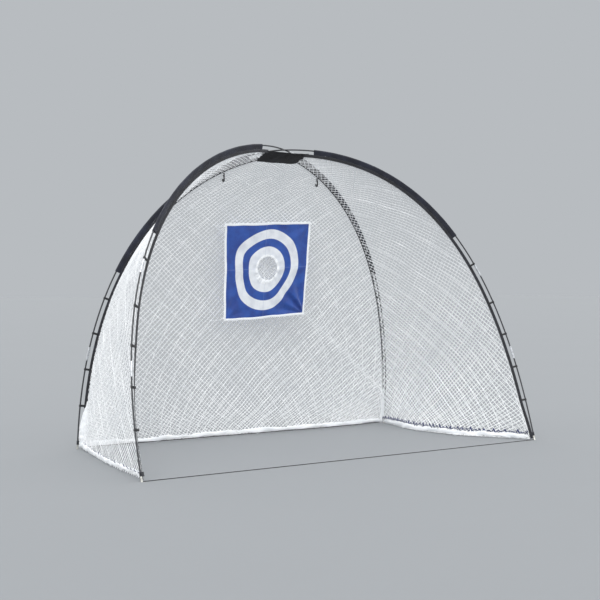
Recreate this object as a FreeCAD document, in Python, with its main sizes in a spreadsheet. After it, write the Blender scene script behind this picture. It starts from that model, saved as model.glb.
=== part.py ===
"""Golf chipping net: two crossed bent poles that carry a cage of netting, open at the front, with a target.

X is to the golfer's right, Y to the back of the cage and Z up, in millimetres. The origin is on the
ground, at the middle of the footprint of the four feet.
"""
import FreeCAD, Part
import Sketcher
import math
import os
from FreeCAD import Placement, Rotation, Vector

RIGHT = Vector(1, 0, 0)
BACK = Vector(0, 1, 0)
UP = Vector(0, 0, 1)

SIZES = [
    ("front_half_width", 1525, "half the distance between the front feet"),
    ("back_half_width", 1296, "half the distance between the back feet"),
    ("cage_depth", 1391, "front feet to back feet"),
    ("crown_height", 2021, "ground to the crossing of the poles"),
    ("crown_setback", 916, "front feet to the crossing of the poles"),
    ("crown_turn", 25.8, "angle between a pole at the crown and the front of the cage"),
    ("crown_fall", 3.6, "how steeply the poles fall to the back at the crown, in degrees"),
    ("front_foot_outward", 52, "how far the front foot points outward over its handle"),
    ("front_foot_backward", 524, "how far the front foot points backward over its handle"),
    ("front_foot_upward", 1668, "how far the front foot points upward over its handle"),
    ("front_crown_handle", 715, "how long the front legs keep the direction of the crown"),
    ("back_foot_outward", 22, "how far the back foot points outward over its handle"),
    ("back_foot_forward", 154, "how far the back foot points forward over its handle"),
    ("back_foot_upward", 1802, "how far the back foot points upward over its handle"),
    ("back_crown_handle", 193, "how long the back legs keep the direction of the crown"),
    ("inward_height", 900, "height of the point on the centre line that the bindings face"),
    ("rod_diameter", 10, "fibreglass rod"),
    ("rod_sections", 9, "rod sections in a pole"),
    ("rod_steps", 5, "straight steps between two ferrules"),
    ("tube_sides", 8, "facets round a rod, a ferrule, a sleeve's bore or a cord"),
    ("ferrule_length", 90, "steel ferrule"),
    ("ferrule_wall", 1.4, "wall of a ferrule"),
    ("fit_gap", 0.3, "running gap between pieces that seat on each other"),
    ("clip_gap", 0.4, "gap between a clip and the rod that bends in it"),
    ("crown_gap", 0.6, "gap between the two poles at their crossing"),
    ("lead", 6, "straight stretch beyond each end of a ferrule or strap"),
    ("tip_length", 30, "foot tip"),
    ("tip_wall", 1.5, "wall of a foot tip"),
    ("binding_offset", 26, "pole centre to the outer edge of the binding"),
    ("binding_width", 22, "webbing binding"),
    ("binding_thickness", 2.5, "webbing binding"),
    ("binding_rise", 12, "front foot to the lower end of its binding, and every foot to the netting"),
    ("net_overlap", 4, "netting sewn along the face of the binding"),
    ("clip_first", 290, "foot to the first clip"),
    ("clip_pitch", 243, "clip to clip along the leg"),
    ("clip_count", 4, "evenly spaced clips on a leg"),
    ("clip_height", 14, "plastic clip"),
    ("clip_wall", 2.4, "wall of a clip round the pole"),
    ("clip_grip", 6, "how deep a clip holds the binding"),
    ("clip_rest", 1.2, "gap between the top clip in front and the ferrule below it"),
    ("strap_height", 25, "corner strap"),
    ("strap_wall", 2.2, "wall of a corner strap round the pole"),
    ("front_sleeve_start", 1520, "front foot to the lower end of its sleeve"),
    ("back_sleeve_start", 1210, "back foot to the lower end of its sleeve"),
    ("sleeve_stop", 235, "crown to the upper end of a sleeve"),
    ("sleeve_wall", 1.3, "fabric of a sleeve with its seam"),
    ("seam_thickness", 3.2, "flat seam of a sleeve beside the binding"),
    ("panel_reach", 185, "crown to the corners of the crown panel, along the poles"),
    ("panel_thickness", 2, "crown panel"),
    ("panel_lap", 25, "how far a binding runs over the crown panel"),
    ("net_thickness", 3, "netting with its knots"),
    ("net_cord", 9, "cord of the simplified netting"),
    ("net_gap_width", 360, "diamond gap, corner to corner across"),
    ("net_gap_height", 360, "diamond gap, corner to corner upwards"),
    ("net_bands", 12, "flat bands from the hem of a net panel to the crown"),
    ("net_selvedge", 14, "closed edge of the netting"),
    ("hem_diameter", 4, "hem cord"),
    ("hem_trim", 14, "how far a hem cord stops short of the corner"),
    ("hem_bow", 205, "how far the slack hem on the right bows into the cage"),
    ("hem_runs", 3, "straight runs of a bowed hem"),
    ("hem_bands", 3, "bands over which the bow of a hem fades upwards"),
    ("ground_cord_diameter", 4, "cord on the ground between the front feet"),
    ("target_width", 700, "target over its binding"),
    ("target_height", 655, "target over its binding"),
    ("target_thickness", 2, "target sheet"),
    ("target_edge", 14, "binding of the target"),
    ("target_edge_thickness", 4, "binding of the target"),
    ("target_setback", 1078, "front feet to the top edge of the target"),
    ("target_top", 1513, "ground to the middle of the target's top edge"),
    ("target_offset", 8, "middle of the cage to the middle of the target"),
    ("target_tilt", 6.6, "how far the target hangs back from plumb, in degrees"),
    ("target_roll", 3, "how much higher its right side hangs, in degrees"),
    ("hole_diameter", 180, "hole in the target"),
    ("hole_rise", 12, "middle of the target up to the middle of its hole"),
    ("ring_width", 18, "seam ring of the pocket"),
    ("ring_thickness", 3, "seam ring of the pocket"),
    ("pocket_depth", 55, "mesh pocket behind the hole"),
    ("pocket_end_diameter", 140, "closed end of the pocket"),
    ("pocket_wall", 2, "mesh of the pocket with its knots"),
    ("pocket_sides", 16, "gathers round the pocket"),
    ("tie_inset", 10, "edge of the target to its ties"),
    ("tie_diameter", 4, "cord of a tie"),
    ("tie_knot_diameter", 9, "knot of a tie"),
    ("tie_knot_width", 6, "knot of a tie"),
    ("hanger_reach", 2240, "back foot to a hanging hook, along the leg"),
    ("hanger_width", 13, "loop that holds a hook"),
    ("hanger_height", 24, "loop that holds a hook"),
    ("hanger_thickness", 3, "loop that holds a hook"),
    ("hook_thickness", 5, "hanging hook"),
    ("hook_bar", 4, "width of the hook's shank and bend"),
    ("hook_eye_wall", 2.4, "wall of the hook's eye"),
    ("hook_shank", 24, "eye to the bend of the hook"),
    ("hook_bend_radius", 10, "outside of the hook's bend"),
    ("hook_tip", 6, "hook beyond its bend"),
]

doc = FreeCAD.newDocument("golf_chipping_net")
sheet = doc.addObject("Spreadsheet::Sheet", "sizes")
for row, (alias, value, meaning) in enumerate(SIZES, start=1):
    sheet.set("A%d" % row, meaning)
    sheet.set("B%d" % row, str(value))
    sheet.setAlias("B%d" % row, alias)
doc.recompute()

subparts = []


def size(alias):
    """Return the value of one cell of the sheet."""
    return float(sheet.get(alias))


def count(alias):
    """Return a whole number from the sheet."""
    return int(round(size(alias)))


def keep(subpart, label, placement=None):
    """Name an object as a sub-part of the net, and place it."""
    subpart.Label = label
    if placement is not None:
        subpart.Placement = placement
    subparts.append(subpart)
    return subpart


def keep_shape(shape, label):
    """Keep a shape that no sketch or primitive fits as a sub-part."""
    feature = doc.addObject("Part::Feature", label)
    feature.Shape = shape
    return keep(feature, label)


def polygon(points):
    """Return a closed wire through points."""
    return Part.makePolygon(points + [points[0]])


def ring(radius, sides):
    """Return a regular polygon on the XY plane, with its first corner on X."""
    step = 2 * math.pi / sides
    return polygon([Vector(radius * math.cos(step * side), radius * math.sin(step * side), 0)
                    for side in range(sides)])


def bar(radius, start, stop, sides=None):
    """Return a straight faceted bar between two points."""
    along = stop - start
    section = ring(radius, sides or count("tube_sides"))
    section.Placement = Placement(start, Rotation(UP, along))
    return Part.Face(section).extrude(along)


def solids_of(shapes):
    """Return one shape, or a group of separate solids."""
    return shapes[0] if len(shapes) == 1 else Part.makeCompound(shapes)


FOOT_MIDDLE = size("cage_depth") / 2
CROWN = Vector(0, size("crown_setback") - FOOT_MIDDLE, size("crown_height"))
INWARD_POINT = Vector(0, CROWN.y, size("inward_height"))
FERRULE_RADIUS = size("rod_diameter") / 2 + size("fit_gap") + size("ferrule_wall")
STRAIGHT_END = size("ferrule_length") / 2 + size("lead")
FOOT_STRAIGHT = size("tip_length") + size("strap_height") + 2 * size("lead")


class Leg:
    """Half a pole, from its foot to the crown, as a chain of short straight steps.

    The rod is straight in its ferrules and in the foot strap, and bends between them. Distances
    run from the foot along the pole.
    """

    def __init__(self, label, foot, foot_handle, crown, crown_handle):
        self.label = label
        curve = Part.BezierCurve()
        curve.setPoles([foot, foot + foot_handle, crown + crown_handle, crown])
        self.curve = curve
        self.length = curve.length()
        self.stations = []
        self.vertices = []

    def smooth(self, distance):
        """Return the point of the smooth curve at a distance from the foot."""
        inside = min(max(distance, 0.0), self.length)
        return self.curve.value(self.curve.parameterAtDistance(inside, self.curve.FirstParameter))

    def set_stations(self, distances):
        """Fix where the chain of steps has its corners."""
        self.stations = distances
        self.vertices = [self.smooth(distance) for distance in distances]

    def step_of(self, distance):
        """Return the index of the step that holds a distance."""
        for index in range(len(self.stations) - 1):
            if distance < self.stations[index + 1]:
                return index
        return len(self.stations) - 2

    def point(self, distance):
        """Return the point of the chain at a distance from the foot."""
        index = self.step_of(distance)
        start, stop = self.stations[index], self.stations[index + 1]
        share = (distance - start) / (stop - start)
        return self.vertices[index] + (self.vertices[index + 1] - self.vertices[index]) * share

    def direction(self, distance):
        """Return the direction of the chain, halfway between two steps at a corner."""
        index = self.step_of(distance)
        along = self.vertices[index + 1] - self.vertices[index]
        along.normalize()
        if index > 0 and abs(distance - self.stations[index]) < 1e-6:
            before = self.vertices[index] - self.vertices[index - 1]
            before.normalize()
            along = along + before
            along.normalize()
        return along

    def axes(self, distance):
        """Return the inward direction, the sideways direction and the direction of the leg."""
        along = self.direction(distance)
        inward = INWARD_POINT - self.point(distance)
        inward = inward - along * inward.dot(along)
        inward.normalize()
        return inward, along.cross(inward), along

    def place(self, distance, shift=0.0):
        """Return the placement of a profile: X inward, Y sideways and Z along the leg."""
        inward, sideways, along = self.axes(distance)
        return Placement(self.point(distance) + along * shift, Rotation(inward, sideways, along, "ZXY"))

    def between(self, start, stop):
        """Return a start, the corners after it and a stop."""
        inside = [station for station in self.stations if start + 1 < station < stop - 1]
        return [start] + inside + [stop]

    def offset(self, distance, inward_by, sideways_by=0.0):
        """Return a point beside the leg."""
        inward, sideways, along = self.axes(distance)
        return self.point(distance) + inward * inward_by + sideways * sideways_by


def crown_direction(side, backward):
    """Return the direction in which a leg leaves the crown: side is -1 or 1, backward -1 or 1."""
    turn = math.radians(size("crown_turn"))
    fall = math.tan(math.radians(size("crown_fall")))
    return Vector(side * math.cos(turn), backward * math.sin(turn), -backward * fall)


def make_leg(side, backward):
    """Return one of the four legs. The pole of the front left foot passes over the other."""
    over = 1 if side == backward else -1
    crown = CROWN + UP * over * (size("rod_diameter") + size("crown_gap")) / 2
    if backward > 0:
        foot = Vector(side * size("back_half_width"), FOOT_MIDDLE, 0)
        handle = Vector(side * size("back_foot_outward"), -size("back_foot_forward"),
                        size("back_foot_upward"))
        reach = size("back_crown_handle")
    else:
        foot = Vector(side * size("front_half_width"), -FOOT_MIDDLE, 0)
        handle = Vector(side * size("front_foot_outward"), size("front_foot_backward"),
                        size("front_foot_upward"))
        reach = size("front_crown_handle")
    label = "%s_%s" % ("back" if backward > 0 else "front", "left" if side < 0 else "right")
    return Leg(label, foot, handle, crown, crown_direction(side, backward) * reach)


def joint_distances(length):
    """Return where the ferrules of a pole are centred, along the whole pole."""
    sections = count("rod_sections")
    return [length * number / sections for number in range(1, sections)]


def split(start, stop, steps):
    """Return evenly spaced values from start to stop, both ends included."""
    return [start + (stop - start) * step / steps for step in range(steps + 1)]


def pole_stations(length):
    """Return the corners of a whole pole, from the first foot to the other."""
    joints = joint_distances(length)
    starts = [FOOT_STRAIGHT] + [joint + STRAIGHT_END for joint in joints]
    stops = [joint - STRAIGHT_END for joint in joints] + [length - FOOT_STRAIGHT]
    inner = []
    for start, stop in zip(starts, stops):
        inner += split(start, stop, count("rod_steps"))
    return [0.0] + inner + [length]


class Pole:
    """A front leg and the back leg that continues it over the crown."""

    def __init__(self, label, front, back):
        self.label = label
        self.front = front
        self.back = back
        self.length = front.length + back.length
        self.stations = pole_stations(self.length)
        self.vertices = [self.smooth(distance) for distance in self.stations]
        front.set_stations([d for d in self.stations if d < front.length] + [front.length])
        back.set_stations([self.length - d for d in reversed(self.stations) if d > front.length]
                          + [back.length])

    def smooth(self, distance):
        """Return the point of the pole at a distance from its front foot."""
        if distance <= self.front.length:
            return self.front.smooth(distance)
        return self.back.smooth(self.length - distance)

    def ring_at(self, distance, radius, direction):
        """Return a faceted ring round the pole."""
        outline = ring(radius, count("tube_sides"))
        point = self.on_chain(distance)
        inward = INWARD_POINT - point
        inward = inward - direction * inward.dot(direction)
        inward.normalize()
        outline.Placement = Placement(point, Rotation(inward, direction.cross(inward), direction, "ZXY"))
        return outline

    def on_chain(self, distance):
        """Return the point of the straight steps at a distance from the front foot."""
        for index in range(len(self.stations) - 1):
            if distance <= self.stations[index + 1]:
                start, stop = self.stations[index], self.stations[index + 1]
                share = (distance - start) / (stop - start)
                return self.vertices[index] * (1 - share) + self.vertices[index + 1] * share
        return self.vertices[-1]

    def step_direction(self, start, stop):
        """Return the direction from one distance to another along the chain."""
        along = self.on_chain(stop) - self.on_chain(start)
        along.normalize()
        return along


left_front, right_front = make_leg(-1, -1), make_leg(1, -1)
left_back, right_back = make_leg(-1, 1), make_leg(1, 1)
left_pole = Pole("left", left_front, right_back)
right_pole = Pole("right", right_front, left_back)
legs = [left_front, right_front, left_back, right_back]


def make_rod(pole, start, stop):
    """Return one rod section as a ruled loft through rings at the corners of the chain."""
    corners = [distance for distance in pole.stations if start + 1 < distance < stop - 1]
    distances = [start] + corners + [stop]
    rings = []
    for index, distance in enumerate(distances):
        before = pole.step_direction(distances[max(index - 1, 0)], distances[max(index, 1)])
        after = pole.step_direction(distances[min(index, len(distances) - 2)],
                                    distances[min(index + 1, len(distances) - 1)])
        along = before + after
        along.normalize()
        rings.append(pole.ring_at(distance, size("rod_diameter") / 2, along))
    return Part.makeLoft(rings, True, True)


def make_pole(pole):
    """Make the rod sections of a pole and the ferrules that join them."""
    half_gap = size("fit_gap") / 2
    cap = size("tip_wall") + half_gap
    joints = joint_distances(pole.length)
    starts = [cap] + [joint + half_gap for joint in joints]
    stops = [joint - half_gap for joint in joints] + [pole.length - cap]
    for number, (start, stop) in enumerate(zip(starts, stops), start=1):
        keep_shape(make_rod(pole, start, stop), "pole_%s_section_%d" % (pole.label, number))
    ferrules = []
    for joint in joints:
        half = size("ferrule_length") / 2
        along = pole.step_direction(joint - half, joint + half)
        outer = pole.ring_at(joint, FERRULE_RADIUS, along)
        bore = pole.ring_at(joint, FERRULE_RADIUS - size("ferrule_wall"), along)
        tube = Part.Face(outer).cut(Part.Face(bore)).extrude(along * size("ferrule_length"))
        tube.translate(along * -half)
        ferrules.append(tube)
    keep_shape(Part.makeCompound(ferrules), "pole_%s_ferrules" % pole.label)


def make_foot_tip(leg):
    """Make the metal tip of one foot: a cap over the rod, cut flat on the ground."""
    name = "foot_tip_" + leg.label
    along = leg.direction(0)
    cap_top = leg.place(0)
    below = size("rod_diameter")
    outer = doc.addObject("Part::Prism", name + "_outer")
    outer.setExpression("Polygon", "sizes.tube_sides")
    outer.setExpression("Circumradius", "sizes.rod_diameter / 2 + sizes.fit_gap + sizes.tip_wall")
    outer.setExpression("Height", "sizes.tip_length + sizes.rod_diameter")
    outer.Placement = Placement(cap_top.Base - along * below, cap_top.Rotation)
    bore = doc.addObject("Part::Prism", name + "_bore")
    bore.setExpression("Polygon", "sizes.tube_sides")
    bore.setExpression("Circumradius", "sizes.rod_diameter / 2 + sizes.fit_gap")
    bore.setExpression("Height", "sizes.tip_length")
    bore.Placement = Placement(cap_top.Base + along * size("tip_wall"), cap_top.Rotation)
    ground = doc.addObject("Part::Box", name + "_ground")
    ground.setExpression("Length", "4 * sizes.rod_diameter")
    ground.setExpression("Width", "4 * sizes.rod_diameter")
    ground.setExpression("Height", "2 * sizes.rod_diameter")
    ground.Placement = Placement(cap_top.Base - Vector(2, 2, 2) * below, Rotation())
    socket = doc.addObject("Part::Cut", name + "_socket")
    socket.Base = outer
    socket.Tool = bore
    tip = doc.addObject("Part::Cut", name)
    tip.Base = socket
    tip.Tool = ground
    keep(tip, name)


BINDING_INNER = size("binding_offset") + size("binding_width")
NET_EDGE = BINDING_INNER - size("net_overlap")
NET_SIDE = size("binding_thickness") / 2 + size("fit_gap")
NOSE_FACETS = 6
CHORD_SAMPLES = 8
LEAST_GAP_SHARE = 0.125
EYE_TO_BAR = 0.75


def loft_along(leg, profile, distances, lengthen=0.0):
    """Return a ruled loft of a profile along a leg, lengthened at both ends where asked."""
    wires = []
    for index, distance in enumerate(distances):
        shift = 0.0
        if index == 0:
            shift = -lengthen
        if index == len(distances) - 1:
            shift = lengthen
        wire = profile.copy()
        wire.Placement = leg.place(distance, shift)
        wires.append(wire)
    return Part.makeLoft(wires, True, True)


def make_binding(leg):
    """Make the webbing that edges the netting inside one leg. Behind, it stops in the lowest clip."""
    half = size("binding_thickness") / 2
    outer_edge = size("binding_offset")
    profile = polygon([Vector(outer_edge, -half, 0), Vector(BINDING_INNER, -half, 0),
                       Vector(BINDING_INNER, half, 0), Vector(outer_edge, half, 0)])
    top = leg.length - size("panel_reach") + size("panel_lap")
    in_front = leg in (left_front, right_front)
    rise = size("binding_rise") if in_front else size("clip_first") - size("clip_height")
    keep_shape(loft_along(leg, profile, leg.between(rise, top)),
               leg.label + "_binding")


def clasp_profile(wall, gap, grip):
    """Return the outline of a clasp: a ring round the pole with a fork that holds the binding."""
    bore_radius = size("rod_diameter") / 2 + gap
    slot = size("binding_thickness") / 2 + size("fit_gap")
    hoop = Part.Face(ring(bore_radius + wall, count("tube_sides")))
    reach = size("binding_offset") + grip
    arm = Part.Face(polygon([Vector(0, -slot - wall, 0), Vector(reach, -slot - wall, 0),
                             Vector(reach, slot + wall, 0), Vector(0, slot + wall, 0)]))
    slot_start = size("binding_offset") - size("fit_gap")
    fork = Part.Face(polygon([Vector(slot_start, -slot, 0), Vector(reach, -slot, 0),
                              Vector(reach, slot, 0), Vector(slot_start, slot, 0)]))
    bore = Part.Face(ring(bore_radius, count("tube_sides")))
    return hoop.fuse(arm).cut(bore).cut(fork).removeSplitter()


def make_clasp(leg, middle, height, profile):
    """Return a clasp of a given height, centred on a distance along the leg."""
    inward, sideways, along = leg.axes(middle)
    clasp = profile.extrude(UP * height)
    clasp.Placement = Placement(leg.point(middle) - along * height / 2,
                                Rotation(inward, sideways, along, "ZXY"))
    return clasp


def make_clips(leg):
    """Make the clips on the bare half of a leg, with one more above the second ferrule in front."""
    profile = clasp_profile(size("clip_wall"), size("clip_gap"), size("clip_grip"))
    middles = [size("clip_first") + size("clip_pitch") * number for number in range(count("clip_count"))]
    if leg in (left_front, right_front):
        pole = left_pole if leg is left_front else right_pole
        second_ferrule = joint_distances(pole.length)[1]
        middles.append(second_ferrule + size("ferrule_length") / 2 + size("clip_rest")
                       + size("clip_height") / 2)
    clips = [make_clasp(leg, middle, size("clip_height"), profile) for middle in middles]
    keep_shape(solids_of(clips), leg.label + "_clips")


def make_corner_strap(leg):
    """Make the strap that holds a corner of the netting to the pole, just above the foot tip."""
    profile = clasp_profile(size("strap_wall"), size("fit_gap"), size("binding_width") / 2)
    middle = size("tip_length") + size("fit_gap") + size("strap_height") / 2
    keep_shape(make_clasp(leg, middle, size("strap_height"), profile), leg.label + "_corner_strap")


def sleeve_outline():
    """Return the outline of a sleeve: a round nose over the pole that narrows to a flat seam."""
    nose = FERRULE_RADIUS + size("fit_gap") + size("sleeve_wall")
    seam = Vector(size("binding_offset") - size("fit_gap"), size("seam_thickness") / 2, 0)
    angle = math.atan2(seam.y, seam.x) + math.acos(nose / seam.Length)
    turns = split(angle, 2 * math.pi - angle, NOSE_FACETS)
    nose_points = [Vector(nose * math.cos(turn), nose * math.sin(turn), 0) for turn in turns]
    return polygon([seam] + nose_points + [Vector(seam.x, -seam.y, 0)])


def make_sleeve(leg, start):
    """Make the fabric sleeve on the upper half of a leg, with a bore for the pole and its ferrules."""
    distances = leg.between(start, leg.length - size("sleeve_stop"))
    bore = ring(FERRULE_RADIUS + size("fit_gap"), count("tube_sides"))
    outer = loft_along(leg, sleeve_outline(), distances)
    inner = loft_along(leg, bore, distances, size("lead"))
    keep_shape(outer.cut(inner), leg.label + "_sleeve")


def panel_corners(left, right):
    """Return two corners of the crown panel, level with each other, below the ends of two bindings."""
    below = BINDING_INNER + size("fit_gap")
    ends = [leg.offset(leg.length - size("panel_reach"), below) for leg in (left, right)]
    half_width = (abs(ends[0].x) + abs(ends[1].x)) / 2
    setback = (ends[0].y + ends[1].y) / 2
    height = min(ends[0].z, ends[1].z)
    return Vector(-half_width, setback, height), Vector(half_width, setback, height)


def make_crown_panel():
    """Make the fabric panel that the four bindings run to, under the crossing of the poles."""
    front = panel_corners(left_front, right_front)
    back = panel_corners(left_back, right_back)
    face = Part.Face(polygon([front[0], front[1], back[1], back[0]]))
    normal = face.normalAt(0, 0)
    down = normal if normal.z < 0 else normal * -1
    keep_shape(face.extrude(down * size("panel_thickness")), "crown_panel")


def chord_bow(leg, distances, sideways):
    """Return how far straight bands would cut sideways into the binding of a leg."""
    deepest = 0.0
    for start, stop in zip(distances, distances[1:]):
        first, last = leg.offset(start, NET_EDGE), leg.offset(stop, NET_EDGE)
        for share in split(0.0, 1.0, CHORD_SAMPLES):
            between = start + (stop - start) * share
            beside = first * (1 - share) + last * share - leg.offset(between, NET_EDGE)
            deepest = max(deepest, -sideways * beside.dot(leg.axes(between)[1]))
    return deepest


class NetPanel:
    """A sheet of netting between two legs, with diamond gaps cut through it.

    It is made of flat bands, each split into triangles. A flat place on it is how far it lies across
    from the middle and how far up from the hem. Where its hem is slack, the lowest bands bow inward.
    """

    def __init__(self, label, first, first_side, second, second_side, outward, bow=0.0):
        self.label = label
        self.outward = outward
        self.bow = bow
        self.bands = count("net_bands")
        rise, stop = size("binding_rise"), size("panel_reach") + size("net_overlap")
        self.sides = []
        for leg, sideways in ((first, first_side), (second, second_side)):
            distances = split(rise, leg.length - stop, self.bands)
            beside = NET_SIDE + chord_bow(leg, distances, sideways)
            self.sides.append([leg.offset(d, NET_EDGE, sideways * beside) for d in distances])
        self.height = (first.length + second.length) / 2 - rise - stop
        self.rows = [(start - stop).Length for start, stop in zip(self.sides[0], self.sides[1])]
        self.triangles = self.make_triangles()

    def row_points(self, row):
        """Return the points across one row: how far across each is, its flat place and its point."""
        fade = max(0.0, 1 - row / size("hem_bands")) ** 2 if self.bow else 0.0
        first, second = self.sides[0][row], self.sides[1][row]
        inward = UP.cross(second - first)
        inward.normalize()
        if inward.dot(self.outward) > 0:
            inward = inward * -1
        points = []
        for share in split(0.0, 1.0, count("hem_runs") if fade else 1):
            point = first + (second - first) * share
            if 0 < share < 1:
                point = point + inward * self.bow * fade
            points.append((share, (self.rows[row] * (share - 0.5), row * self.height / self.bands), point))
        return points

    def make_triangles(self):
        """Return each triangle of the sheet: its flat corners and its corners in space."""
        triangles = []
        for band in range(self.bands):
            low, high = self.row_points(band), self.row_points(band + 1)
            left, right = 0, 0
            while left < len(low) - 1 or right < len(high) - 1:
                along_low = right == len(high) - 1 or (left < len(low) - 1
                                                       and low[left + 1][0] <= high[right + 1][0])
                after = low[left + 1] if along_low else high[right + 1]
                corners = [low[left], after, high[right]]
                triangles.append(([corner[1] for corner in corners], [corner[2] for corner in corners]))
                left, right = (left + 1, right) if along_low else (left, right + 1)
        return triangles

    def width(self, up):
        """Return how wide the panel is at a height above the hem."""
        place = min(max(up / self.height, 0.0), 1.0) * self.bands
        index = min(int(place), self.bands - 1)
        return self.rows[index] + (self.rows[index + 1] - self.rows[index]) * (place - index)

    def outline(self):
        """Return the flat outline that the gaps stay inside."""
        margin = size("net_selvedge")
        right = [(self.width(up) / 2 - margin, up)
                 for up in split(margin, self.height - margin, self.bands)]
        left = [(-across, up) for across, up in reversed(right)]
        return right + left

    def point(self, across, up):
        """Return the point in space of a flat place."""
        for flat, space in self.triangles:
            shares = corner_shares(flat, (across, up))
            if min(shares) >= -1e-9:
                return blend(space, shares)
        return blend(self.triangles[-1][1], (1, 0, 0))

    def normal(self, across, up):
        """Return the direction square to the sheet at a flat place, toward the outside."""
        for flat, space in self.triangles:
            if min(corner_shares(flat, (across, up))) >= -1e-9:
                square = (space[1] - space[0]).cross(space[2] - space[0])
                square.normalize()
                return square if square.dot(self.outward) > 0 else square * -1
        return self.outward

    def columns(self):
        """Return how many half gaps fit on either side of the middle."""
        return int(max(self.rows) / size("net_gap_width")) + 2

    def levels(self):
        """Return how many half gaps fit between the hem and the crown."""
        return int(2 * self.height / size("net_gap_height")) + 2

    def lattice(self, parity):
        """Return flat places half a gap apart: the gaps' middles are odd, the cords' crossings even."""
        half_width, half_height = size("net_gap_width") / 2, size("net_gap_height") / 2
        return [(column * half_width, level * half_height) for level in range(self.levels())
                for column in range(-self.columns(), self.columns() + 1)
                if (column + level) % 2 == parity]

    def crossings(self):
        """Return the flat places on the sheet where the cords of the netting cross."""
        return [(across, up) for across, up in self.lattice(0)
                if 0 < up < self.height and abs(across) < self.width(up) / 2]

    def gaps(self):
        """Return the flat outline of each gap, clipped where the netting ends."""
        half_width, half_height = size("net_gap_width") / 2, size("net_gap_height") / 2
        slope = math.hypot(half_width, half_height)
        half_across = half_width - size("net_cord") / 2 * slope / half_height
        half_up = half_height - size("net_cord") / 2 * slope / half_width
        border = self.outline()
        least_area = 2 * half_across * half_up * LEAST_GAP_SHARE
        gaps = []
        for across, up in self.lattice(1):
            diamond = [(across + half_across, up), (across, up + half_up),
                       (across - half_across, up), (across, up - half_up)]
            inside = clip(diamond, border)
            if len(inside) > 2 and area(inside) > least_area:
                gaps.append(inside)
        return gaps

    def solid(self):
        """Return the holed sheet, thickened outward."""
        gaps = self.gaps()
        pieces = []
        for flat, space in self.triangles:
            cuts = []
            for gap in gaps:
                inside = clip(gap, flat)
                if len(inside) > 2 and area(inside) > 1:
                    cuts.append(Part.Face(polygon([blend(space, corner_shares(flat, place))
                                                   for place in inside])))
            face = Part.Face(polygon(space))
            left = face.cut(cuts) if cuts else face
            pieces += [part.extrude(self.outward * size("net_thickness")) for part in left.Faces]
        print(self.label, "gaps", len(gaps))
        return pieces[0].multiFuse(pieces[1:]).Solids[0]


def corner_shares(corners, place):
    """Return how much each corner of a flat triangle weighs at a flat place."""
    (ax, ay), (bx, by), (cx, cy) = corners
    whole = (bx - ax) * (cy - ay) - (cx - ax) * (by - ay)
    second = ((place[0] - ax) * (cy - ay) - (cx - ax) * (place[1] - ay)) / whole
    third = ((bx - ax) * (place[1] - ay) - (place[0] - ax) * (by - ay)) / whole
    return 1 - second - third, second, third


def blend(points, shares):
    """Return the point that three points give with these shares."""
    return points[0] * shares[0] + points[1] * shares[1] + points[2] * shares[2]


def area(outline):
    """Return the signed area of a flat outline."""
    total = 0.0
    for (ax, ay), (bx, by) in zip(outline, outline[1:] + outline[:1]):
        total += ax * by - bx * ay
    return total / 2


def clip(outline, border):
    """Return the part of a flat outline that lies inside a convex border, both anticlockwise."""
    for (ax, ay), (bx, by) in zip(border, border[1:] + border[:1]):

        def inside(point):
            return (bx - ax) * (point[1] - ay) - (by - ay) * (point[0] - ax)

        kept = []
        for start, stop in zip(outline, outline[1:] + outline[:1]):
            before, after = inside(start), inside(stop)
            if before >= 0:
                kept.append(start)
            if (before > 0 > after) or (before < 0 < after):
                share = before / (before - after)
                kept.append((start[0] + (stop[0] - start[0]) * share,
                             start[1] + (stop[1] - start[1]) * share))
        outline = kept
        if len(outline) < 3:
            return []
    return outline


def make_hem_cord(panel, label):
    """Make the cord along the bottom edge of a net panel, in straight runs from corner to corner."""
    radius = size("hem_diameter") / 2
    points = [point - UP * (radius + size("fit_gap")) for share, flat, point in panel.row_points(0)]
    runs = [(stop - start).normalize() for start, stop in zip(points, points[1:])]
    points[0] = points[0] + runs[0] * size("hem_trim")
    points[-1] = points[-1] - runs[-1] * size("hem_trim")
    rings = []
    for point, before, after in zip(points, [runs[0]] + runs, runs + [runs[-1]]):
        along = (before + after).normalize()
        outline = ring(radius, count("tube_sides"))
        outline.Placement = Placement(point, Rotation(UP, along.cross(UP), along, "ZXY"))
        rings.append(outline)
    keep_shape(Part.makeLoft(rings, True, True), label)


def make_ground_cord():
    """Make the taut cord on the ground between the tips of the front feet."""
    radius = size("ground_cord_diameter") / 2
    clear = size("rod_diameter") / 2 + size("tip_wall") + 2 * size("fit_gap")
    start = left_front.point(0) + Vector(clear, 0, radius + size("fit_gap"))
    stop = right_front.point(0) + Vector(-clear, 0, radius + size("fit_gap"))
    print("ground cord: one straight run of", round((stop - start).Length, 1), "mm")
    keep_shape(bar(radius, start, stop), "ground_cord")


TARGET = Placement(Vector(size("target_offset"), size("target_setback") - FOOT_MIDDLE, size("target_top")),
                   Rotation(BACK, -size("target_roll")) * Rotation(RIGHT, size("target_tilt")))
TARGET_MIDDLE = TARGET * Placement(Vector(0, 0, -size("target_height") / 2), Rotation())
HOLE = TARGET_MIDDLE * Placement(Vector(0, 0, size("hole_rise")), Rotation())


def origin_plane(body, role):
    """Return a plane of a body's own origin."""
    return [feature for feature in body.Origin.OriginFeatures if feature.Role == role][0]


def new_sketch(body, name, role):
    """Return an empty sketch on a plane of a body's origin."""
    sketch = body.newObject("Sketcher::SketchObject", name)
    sketch.AttachmentSupport = [(origin_plane(body, role), "")]
    sketch.MapMode = "FlatFace"
    return sketch


def bind(sketch, constraint, name, expression):
    """Add a driving constraint and tie it to the sheet."""
    index = sketch.addConstraint(constraint)
    sketch.renameConstraint(index, name)
    sketch.setExpression("Constraints." + name, expression)


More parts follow.
